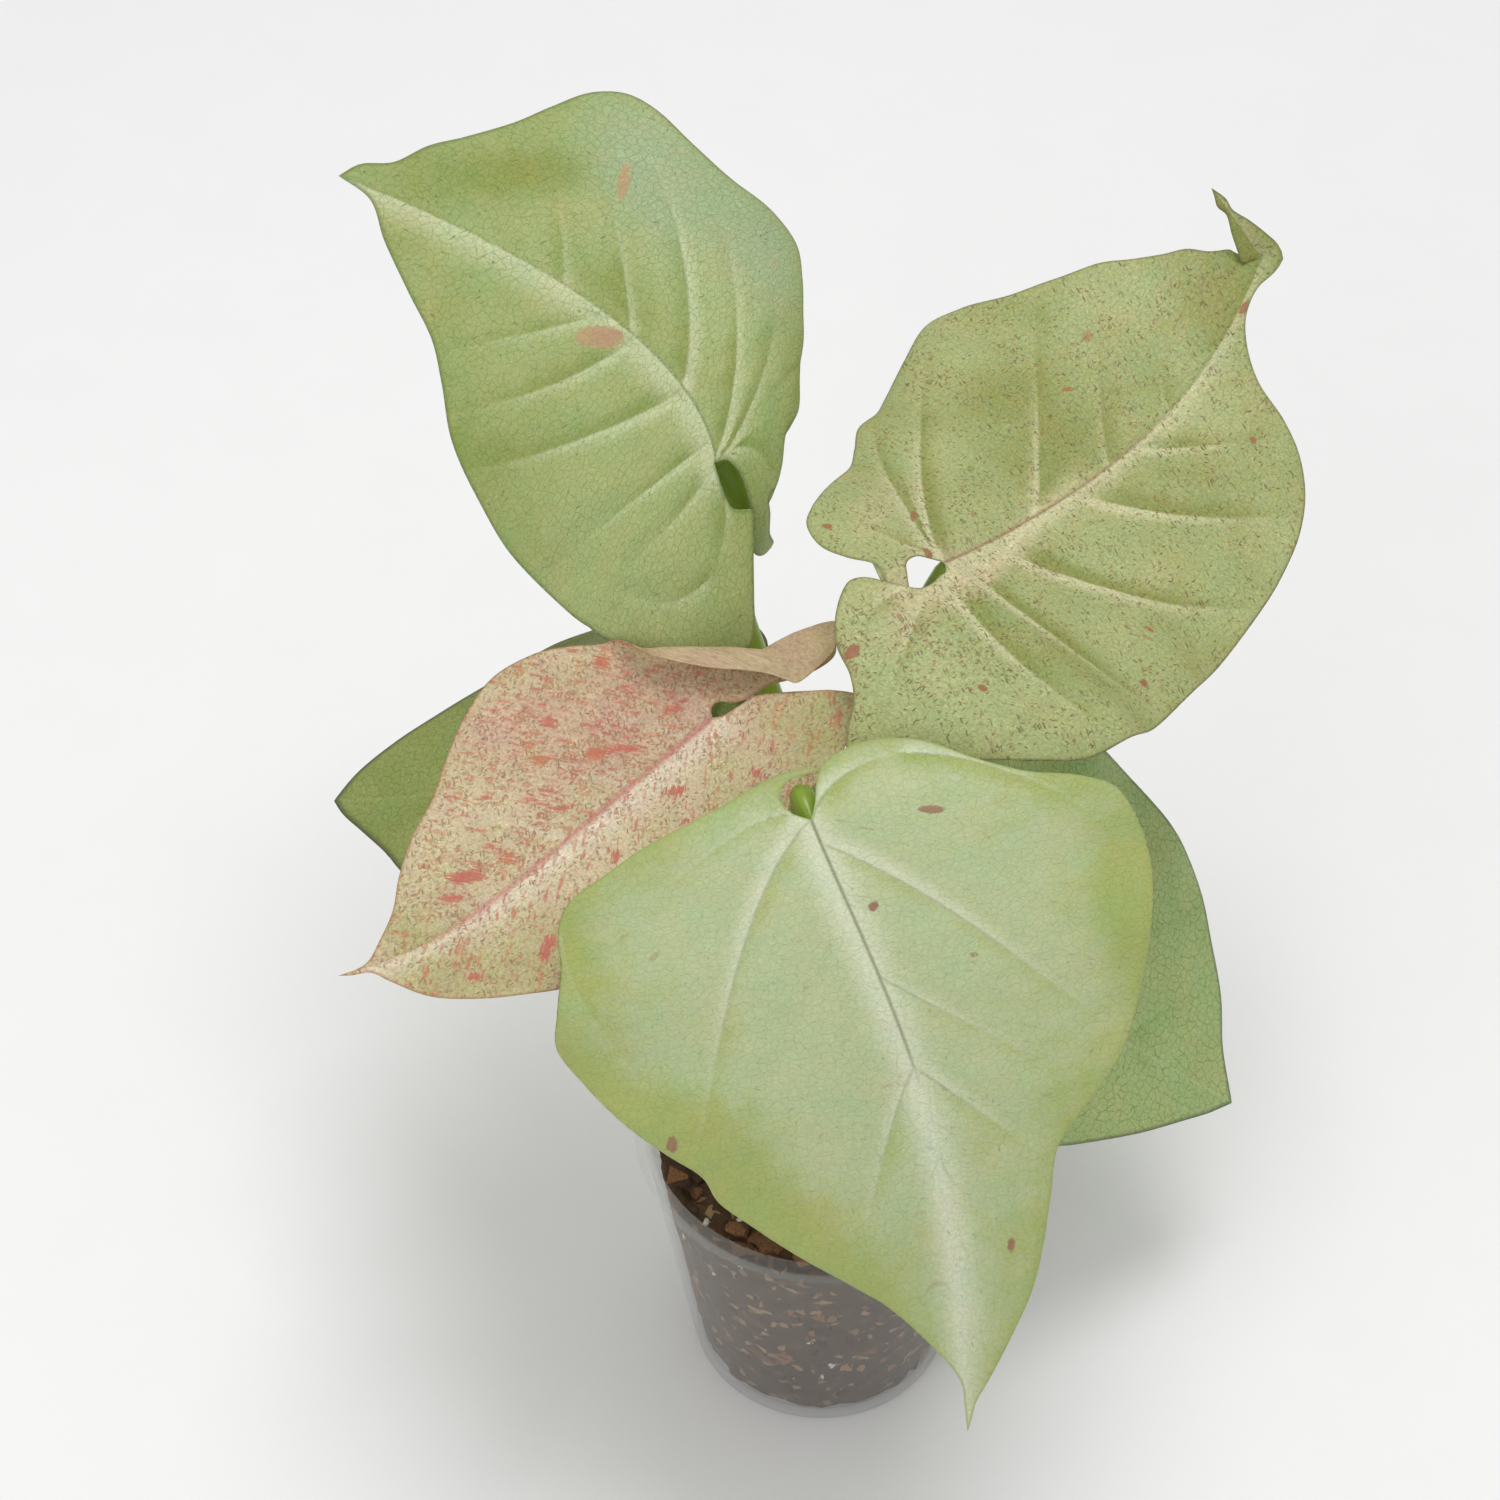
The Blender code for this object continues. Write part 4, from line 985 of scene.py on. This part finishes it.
# Back right leaf: olive green, sown with fine dark dashes, with a pinkish midrib.
# Its tip is a narrow ribbon that turns back up, and it arches down to a broad lower lobe.
grow(
    "back_right",
    junction=(14, 28, 124.5), bend=(34.5, 50, 114.8), tip=(58, 78, 132.6), length=69, half_width=34,
    face=(0.1, -0.35, 1), rise=8, arch_base=(80, 25), arch_tip=(20, 25), lobe_radius=(14, 26),
    bow=(3, 1.9), wave=(0.9, 15, 0.0), columns=84, relief=0.9, slant=0.5,
    drip={"knee": (54.6, 79.2, 137.3), "end": (50.4, 80, 142.8), "face": (-0.1, -0.65, 0.75),
          "length": 14, "ease": 4},
    left=[
        (0, 83), (-0.35, 81.8), (-0.9, 80.3), (-0.55, 78.4), (-1.5, 75.5), (-2.4, 71.8), (-3, 69.2),
        (-6, 65.8), (-9, 64), (-11, 61.8), (-14, 59), (-17.6, 56), (-21, 51), (-24.7, 46.2), (-30.2, 42),
        (-32.6, 38.5), (-30.8, 31), (-28.2, 24.5), (-26.6, 20.5), (-26.6, 17), (-23.8, 13), (-20.8, 8),
        (-19.3, 1.5), (-17.4, -5), (-15.4, -8.4), (-11.5, -9.9), (-7.6, -9), (-4.8, -7.5), (-3.3, -7.5),
        (-2.2, -8.2), (-0.4, -9.4), (1, -9), (0.9, -7.3), (-0.9, -5.7), (-2.4, -4.3), (-2.4, -2.6),
        (-1.2, -1.3), (0, 0)],
    right=[
        (0, 83), (0.35, 81.8), (0.7, 80.3), (0.55, 78.4), (1.5, 75.5), (2.4, 71.8), (2.8, 69.3),
        (1.9, 66), (2.8, 62.5), (5.3, 59.5), (9.7, 56.5), (15.6, 54.6), (20, 52.4), (23.7, 49),
        (26.6, 44), (28.5, 38), (29.8, 31), (31, 22), (32, 11), (32.5, 0), (31.3, -8), (28, -14.3),
        (24, -18.6), (20, -23.5), (16.5, -28), (12.8, -29.5), (9.8, -26.8), (7.7, -23.5), (5, -21.4),
        (1.2, -19.8), (-1.8, -17.2), (-4.2, -13.6), (-4.8, -11.6), (-4, -10), (-2.2, -8.9),
        (0.2, -7.6), (1.6, -6.5), (1.9, -5), (1.5, -3), (1.2, -1.2), (0, 0)],
    veins=(
        [(0, (5, -3), (16, -5), 0.6), (0, (11, 3), (26, 19), 0.8), (0, (9, 5), (28, 33), 0.8),
         (20, (4, 27), (21, 47), 0.7), (34, (5, 40), (15, 53), 0.5), (46, (3, 50), (8, 59), 0.4)],
        [((1.8, -6), (-1.5, -11), (2, -17), 0.7), (0, (4, -10), (13, -25), 0.7), (0, (10, -9), (31, -3), 0.9),
         (4, (10, -1.5), (31, 8), 0.9), (11, (10, 10), (29, 31), 1.0), (28, (9, 29), (24, 45), 0.9),
         (39, (6, 41), (16, 52), 0.7), (52, (3, 54), (6, 60), 0.4)]),
    pleat=0.9, glow=(0.3, 1.05, 3.0, 0.5), edge_tone=0.1,
    blush=[
        (3, -19, 1.5, 0.9, 100, 1.0), (2, 63, 1.2, 0.6, 90, 1.0), (27, 9, 1.0, 0.8, 0, 0.75),
        (17, -12, 0.8, 0.7, 0, 0.9), (22, 16, 1.2, 0.8, 30, 0.7), (14, 50, 0.8, 0.6, 0, 0.8),
        (-8, 4, 1.6, 0.5, 120, 1.0), (-13, -7, 1.0, 0.8, 0, 0.8), (-12, 47, 2.0, 1.2, 130, 0.6),
        (-9, 39, 1.4, 0.5, 50, 0.85), (-2, -1, 1.4, 0.7, 150, 0.9)],
    tone=[
        (-14, 34, 12, 5, 60, 0.35), (10, 40, 10, 5, 60, 0.3), (22, 2, 14, 4, 10, 0.2),
        (-5, 30, 12, 5, 75, 0.5), (18, -14, 9, 6, 30, -0.3), (0, 70, 14, 8, 90, 0.6)],
    warm=[
        (1, -3, 8, 5, 100, 0.7), (3, 8, 10, 2.5, 95, 0.7), (-12, 2, 9, 4, 110, 0.4),
        (4, -14, 7, 4, 100, 0.25), (1, 24, 8, 2, 90, 0.5)],
    dense=(0.6, [(6, -14, 12, 10, 60, 0.9), (2, 6, 14, 9, 90, 0.5)]),
    line=((0, 30, 50, 83), (0.8, 0.7, 0.2, 0)),
    paint=dict(
        tissue=(176, 184, 124), shade=(144, 152, 78), milk=(214, 212, 166), warm=(208, 196, 152),
        line=(150, 112, 84), edge=(112, 118, 70), speck=(106, 86, 42), fleck=(160, 116, 80),
        blush=(158, 108, 68), underside=(168, 180, 126), milkiness=0.9, pleat=0.85, net=0.15,
        net_scale=0.9, specks=0.25, flecks=0.07, edge_width=0.4, line_width=0.35, mottle=1.1),
    foot=50, neck=7, top=1.25, route=[(2.6, 12, 74), (3, 17.5, 91), (7.5, 24.5, 108)])


# Pink leaf: cream tissue with a rose midrib, rose streaks beside its side veins and fine dark dashes.
# Its rear lobe is rolled right over, so that its smooth pale underside shows.
grow(
    "pink",
    junction=(-14.9, 15, 110.1), bend=(-34.2, 5, 96.5), tip=(-60.3, -16, 97.2), length=57, half_width=30,
    face=(-0.1, -0.35, 1), rise=10, arch_base=(15, 15), arch_tip=(15, 15), lobe_radius=(60, 20),
    bow=(-2.5, 2.5), wave=(0.5, 14, 1.0), columns=64, relief=0.8, slant=0.9,
    roll={"start": 9.5, "slant": 0.9, "radius": 1.7, "turn": 170, "none_at": 5, "full_at": -2},
    left=[
        (0, 57), (-1, 55.6), (-1.8, 54), (-4.4, 52.9), (-9, 50.5), (-13, 46), (-15.5, 42), (-18, 37),
        (-19.5, 31), (-20, 24), (-19.5, 16), (-18.5, 8), (-17, 0), (-16, -7), (-14, -12), (-10.5, -15.5),
        (-7.8, -13.8), (-5.8, -11.5), (-3.6, -8.8), (-1.4, -5.8), (-1.15, -4.2), (-1, -2.8),
        (-0.7, -1.2), (0, 0)],
    right=[
        (0, 57), (-0.5, 55), (-0.4, 53.5), (1.2, 51), (3.5, 48), (7, 45), (10.5, 41), (13.5, 36),
        (17.2, 31.5), (20.3, 26.5), (22.8, 19.5), (21.9, 14), (19.5, 9), (17.2, 5.5), (15.8, 2.5),
        (15, -0.5), (14.2, -3.5), (12.1, -6.4), (11.1, -8.2), (11.3, -10), (10.8, -12.3), (9.8, -15),
        (8.6, -16.6), (7, -18), (4.5, -20), (2, -20.8), (0, -20), (-1.2, -18.5), (-2, -15),
        (-1.9, -12.6), (-1.6, -10.6), (-0.9, -8), (-0.95, -6), (-0.7, -4.2), (0.1, -2.9), (1.1, -1.8),
        (1, -0.7), (0, 0)],
    veins=(
        [(0, (6, -6), (10, -13), 0.6), (0, (9, 0), (17, 8), 0.6), (6, (7, 11), (18, 22), 0.7),
         (16, (6, 21), (17, 32), 0.7), (27, (5, 31), (13, 42), 0.6), (38, (3, 42), (9, 49), 0.4)],
        [(0, (2, -8), (5, -17), 0.6), (0, (8, 0), (18, 8), 0.6), (5, (7, 10), (20, 21), 0.8),
         (15, (6, 20), (18, 30), 0.8), (26, (5, 31), (15, 39), 0.8), (38, (3, 41), (9, 46), 0.5)]),
    pleat=0.45, glow=(1.15, 0.3, 4.2, 0.45), edge_tone=0.1,
    blush=[
        (2.2, 38.5, 2.6, 0.9, 60, 1.1), (0.8, 41.5, 2, 0.7, 60, 0.9), (1.2, 33, 1.8, 0.7, 60, 0.9),
        (15, 7, 1.3, 1.2, 0, 1.0), (13, 18, 1.4, 1.0, 50, 0.9), (6, 15.5, 1.7, 0.7, 60, 1.0),
        (9.5, 22, 1.7, 0.7, 60, 1.0), (3, 24, 1.9, 0.5, 60, 0.9), (12, 22, 1.3, 0.8, 50, 0.8),
        (4, 12, 2.8, 0.6, 60, 0.9), (4, 3, 2.6, 0.8, 80, 0.75), (-5, 10, 1.4, 0.8, 70, 1.0),
        (-12, 36, 2.4, 1.1, 130, 0.95), (-7, 22, 1.4, 0.6, 120, 0.9), (-10, 0, 0.9, 0.7, 0, 0.9),
        (-5, -12, 1.4, 0.7, 60, 0.9), (-9, 12, 1.0, 0.5, 90, 0.8), (-10, 45, 1.2, 0.8, 60, 0.8)],
    tone=[
        (14, 14, 7, 4, 60, 0.2), (-14, 30, 9, 4, 80, 0.25), (-16, 8, 12, 4, 80, 0.1),
        (9, 9, 4, 3, 60, 0.5), (-7, 45, 13, 8, 40, 0.3), (-12, -9, 8, 6, 60, 0.4)],
    warm=[(8, 10, 13, 10, 60, 0.75), (2, 0, 9, 5, 60, 0.9), (12, 22, 12, 7, 60, 0.5)],
    dense=(1.0, [(4, 18, 22, 5, 90, 0.5), (12, 12, 9, 7, 60, 0.3), (-9, 16, 26, 8, 90, -0.45)]),
    line=((0, 35, 50), (0.85, 0.7, 0.15)),
    paint=dict(
        tissue=(214, 196, 160), shade=(172, 168, 108), milk=(232, 220, 196), warm=(206, 176, 146),
        line=(196, 126, 116), edge=(164, 124, 84), speck=(136, 110, 66), fleck=(176, 124, 96),
        blush=(196, 114, 88), underside=(186, 158, 124), milkiness=0.85, pleat=0.15, net=0.12,
        net_scale=0.9, specks=0.3, flecks=0.3, streaks=0.42, edge_width=0.4, line_width=0.7, mottle=1.2),
    foot=210, neck=6, top=1.25, route=[(-5.6, 2, 74), (-8, 7.5, 92)])


# Front leaf: the largest and nearest, pale sage, milky beside its midrib and pale with painted light beside
# its side veins, with yellow-green margins.
# It hangs forward from its stalk, down over the pot's rim, to a long thin tip.
grow(
    "front",
    junction=(-2.9, -8, 116.7), bend=(6.7, -36, 102.7), tip=(17.1, -50, 48.6), length=85, half_width=38,
    face=(0, -0.8, 0.6), rise=4, arch_base=(20, 20), arch_tip=(20, 20), lobe_radius=(14, 9),
    bow=(-4, 1.3), wave=(0.7, 21, 0.0), columns=92, relief=1.0, slant=0.5,
    left=[
        (0, 85), (-0.8, 83.5), (-1.8, 81.5), (-4, 79), (-8, 74), (-11.5, 69), (-14, 63.5), (-16, 58),
        (-18, 52.5), (-22, 48.5), (-28, 43), (-32.5, 35), (-35.5, 27), (-37.5, 19), (-37.5, 11),
        (-36, 5.5), (-32, 2.5), (-27, 0.5), (-21, -3), (-15, -7.5), (-9, -9), (-5, -8), (-3, -6.5),
        (-1.9, -4.5), (-1.1, -2.2), (0, 0)],
    right=[
        (0, 85), (-0.1, 83.5), (-0.3, 81.5), (-0.5, 79), (0.3, 76.5), (2.3, 73), (6, 67.5), (10, 63.5),
        (15.5, 58.5), (20, 54), (23.5, 50), (24.5, 46.5), (28, 42.5), (32.5, 37), (36, 31), (38, 25),
        (36.5, 19.5), (34.5, 13), (33.5, 7), (31, 3), (26.4, 0.7), (20.7, -1.6), (14.7, -3.2),
        (9.6, -4.6), (7, -5.8), (4.5, -7.1), (2.4, -8.3), (0.2, -8.8), (-2, -8.6), (-2.9, -7.8),
        (-1.6, -7.3), (0.2, -6.9), (1.5, -6.1), (2.5, -4.8), (2.8, -3.2), (2, -1.4), (0, 0)],
    veins=(
        [(0, (5, -7), (14, -5.5), 0.9), ((14, -5.5), (28, -1), (34.5, 14), 0.7), (4, (10, 13), (27, 39), 1.0),
         (14, (14, 21), (30, 32), 0.5), (25, (8, 31.5), (23, 45), 0.7), (38, (6, 41), (16, 53), 0.8),
         (50, (4, 55), (12, 64), 0.6), (62, (3, 66), (7, 72), 0.4)],
        [(0, (8, -6), (32, 16), 0.55), (0, (10, 7), (24, 43), 1.0), (20, (6, 25), (21, 45), 0.5),
         (38, (1, 44), (8, 60), 0.8), (50, (0, 55), (4, 67), 0.5), ((33, 8), (35.5, 24), (20, 47), 0.45)]),
    pleat=0.55, glow=(0.8, 1.05, 3.2, 0.2), edge_tone=0.4,
    blush=[
        (-14, 3, 1.9, 0.8, 160, 1.0), (-4, 15, 1.3, 0.9, 60, 0.75), (-10, 63, 1.4, 0.7, 70, 0.8),
        (-14, 25, 1.1, 0.8, 0, 0.6), (27, 41, 1.8, 0.9, 70, 0.9)],
    tone=[
        (30, 38, 20, 7, 140, 0.55), (32, 12, 14, 4, 80, 0.25), (-33, 22, 16, 4, 90, 0.4),
        (14, 58, 14, 5, 135, 0.35), (-14, 62, 12, 3, 120, 0.1), (0, 20, 26, 16, 90, -0.4)],
    line=((0, 36, 41, 85), (1.0, 0.8, 0.0, 0.0)),
    paint=dict(
        tissue=(184, 196, 148), shade=(164, 176, 98), milk=(214, 220, 190), line=(140, 148, 112),
        edge=(150, 168, 92), speck=(128, 146, 94), blush=(150, 110, 84), underside=(184, 198, 150),
        milkiness=0.95, pleat=0.5, net=0.16, net_scale=0.8, specks=0.01, vein_shade_line=0.4, edge_width=0.4,
        line_width=0.34, mottle=0.42),
    foot=265, neck=2.5, top=1.5,
    route=[(-1.2, -4.6, 75), (-2.2, -4.2, 96), (-3.5, -2.2, 108), (-3.9, -1.5, 113.2), (-3.8, -3.4, 115.4)])


# Low left leaf: plain mid green with a thin dark margin, mostly under the pink leaf.
# It grows nearly level to the left and droops at its tip.
grow(
    "low_left",
    junction=(-16.7, 24, 95.5), bend=(-34.8, 22, 97.7), tip=(-66.9, 32, 75.8), length=56, half_width=30,
    face=(-0.1, -0.3, 1), rise=6, arch_base=(10, 50), arch_tip=(10, 50), lobe_radius=(60, 60),
    bow=(-2.8, 1.5), wave=(0.5, 16, 0.0), row=0.6, columns=50, relief=0.9, slant=0.7,
    left=[
        (0, 56), (-2.5, 54.5), (-6, 51.5), (-10, 48), (-14, 45), (-20, 39), (-24.5, 32), (-27, 24),
        (-26.5, 15), (-23, 7), (-18, 1), (-12, -3.5), (-6, -5), (-2.5, -3), (0, 0)],
    right=[
        (0, 56), (3.5, 53), (7, 48.5), (10, 44), (13, 40), (17, 34.5), (21.5, 29), (25, 22), (27, 14),
        (27.3, 6), (26.5, -1), (24.5, -4.8), (21.7, -7.6), (18, -9.2), (14.5, -9), (11.8, -8.2),
        (9.5, -6.8), (7, -6), (4.4, -4.6), (2, -2.4), (0, 0)],
    veins=(
        [(0, (8, -2), (20, 9), 0.7), (4, (9, 9), (24, 24), 0.8), (15, (8, 20), (21, 36), 0.8),
         (27, (6, 31), (15, 43), 0.7), (39, (4, 42), (8, 49), 0.5)],
        [(0, (9, -5), (20, -6), 0.7), (3, (10, 5), (25, 14), 0.8), (14, (8, 18), (21, 28), 0.8),
         (26, (6, 30), (14, 38), 0.7), (38, (4, 41), (8, 46), 0.5)]),
    pleat=0.8, edge_tone=0.2, tone=[(-16, 20, 12, 6, 60, 0.2)], line=((0, 56), (0.5, 0.3)),
    paint=dict(
        tissue=(148, 158, 86), shade=(122, 138, 60), milk=(168, 180, 114), line=(158, 170, 104),
        edge=(36, 42, 28), speck=(96, 112, 52), underside=(148, 166, 102), milkiness=0.6, pleat=0.7,
        net=0.5, net_scale=0.8, edge_width=0.9, line_width=0.35, mottle=1.0),
    foot=155, neck=5, top=1.25, route=[(-8.5, 11.5, 69), (-13, 19, 83)])


# Low right leaf: mid green, clearly netted, with a thin dark margin, mostly under the front leaf.
# It hangs to the right on the shortest stalk.
grow(
    "low_right",
    junction=(10.1, 8, 77.6), bend=(32.6, 8, 65.7), tip=(58.4, 14, 31.6), length=67, half_width=32,
    face=(0.3, -0.5, 0.8), rise=6, arch_base=(15, 60), arch_tip=(15, 60), lobe_radius=(60, 60),
    bow=(1.2, 1.5), wave=(0.5, 19, 0.0), row=0.55, columns=60, relief=0.9, slant=0.6,
    left=[
        (0, 67), (-6, 62), (-12, 59), (-18, 55), (-24, 51), (-28, 46), (-31, 40), (-34, 32), (-35, 24),
        (-34, 16), (-31, 7), (-26, -1), (-19, -7), (-12, -9), (-5, -8), (-2, -4), (0, 0)],
    right=[
        (0, 67), (3.5, 63), (6.5, 59), (11, 53), (15, 47), (18.5, 41), (20.5, 35), (21, 27), (20, 19),
        (18, 11), (15, 4), (11.5, -2), (8, -5.5), (5, -6.5), (2, -4), (0, 0)],
    veins=(
        [(0, (10, -4), (27, 8), 0.7), (4, (12, 10), (31, 26), 0.8), (16, (10, 22), (28, 41), 0.8),
         (30, (9, 36), (22, 51), 0.8), (44, (6, 49), (13, 58), 0.6), (56, (3, 58), (5, 62), 0.4)],
        [(0, (6, -2), (14, 5), 0.7), (5, (8, 10), (18, 22), 0.7), (18, (7, 24), (18, 38), 0.7),
         (32, (6, 37), (14, 49), 0.6), (46, (4, 50), (8, 57), 0.5)]),
    pleat=0.5, edge_tone=0.1, tone=[(-20, 30, 14, 7, 60, 0.1)], line=((0, 67), (0.6, 0.5)),
    paint=dict(
        tissue=(174, 194, 124), shade=(150, 172, 94), milk=(192, 208, 146), line=(186, 200, 144),
        edge=(48, 54, 36), speck=(110, 132, 66), underside=(162, 180, 122), milkiness=0.5, pleat=0.4,
        net=0.7, net_scale=0.75, edge_width=0.75, line_width=0.3, mottle=0.8),
    foot=325, neck=5, top=1.25, route=[(5.2, 2.5, 62)])
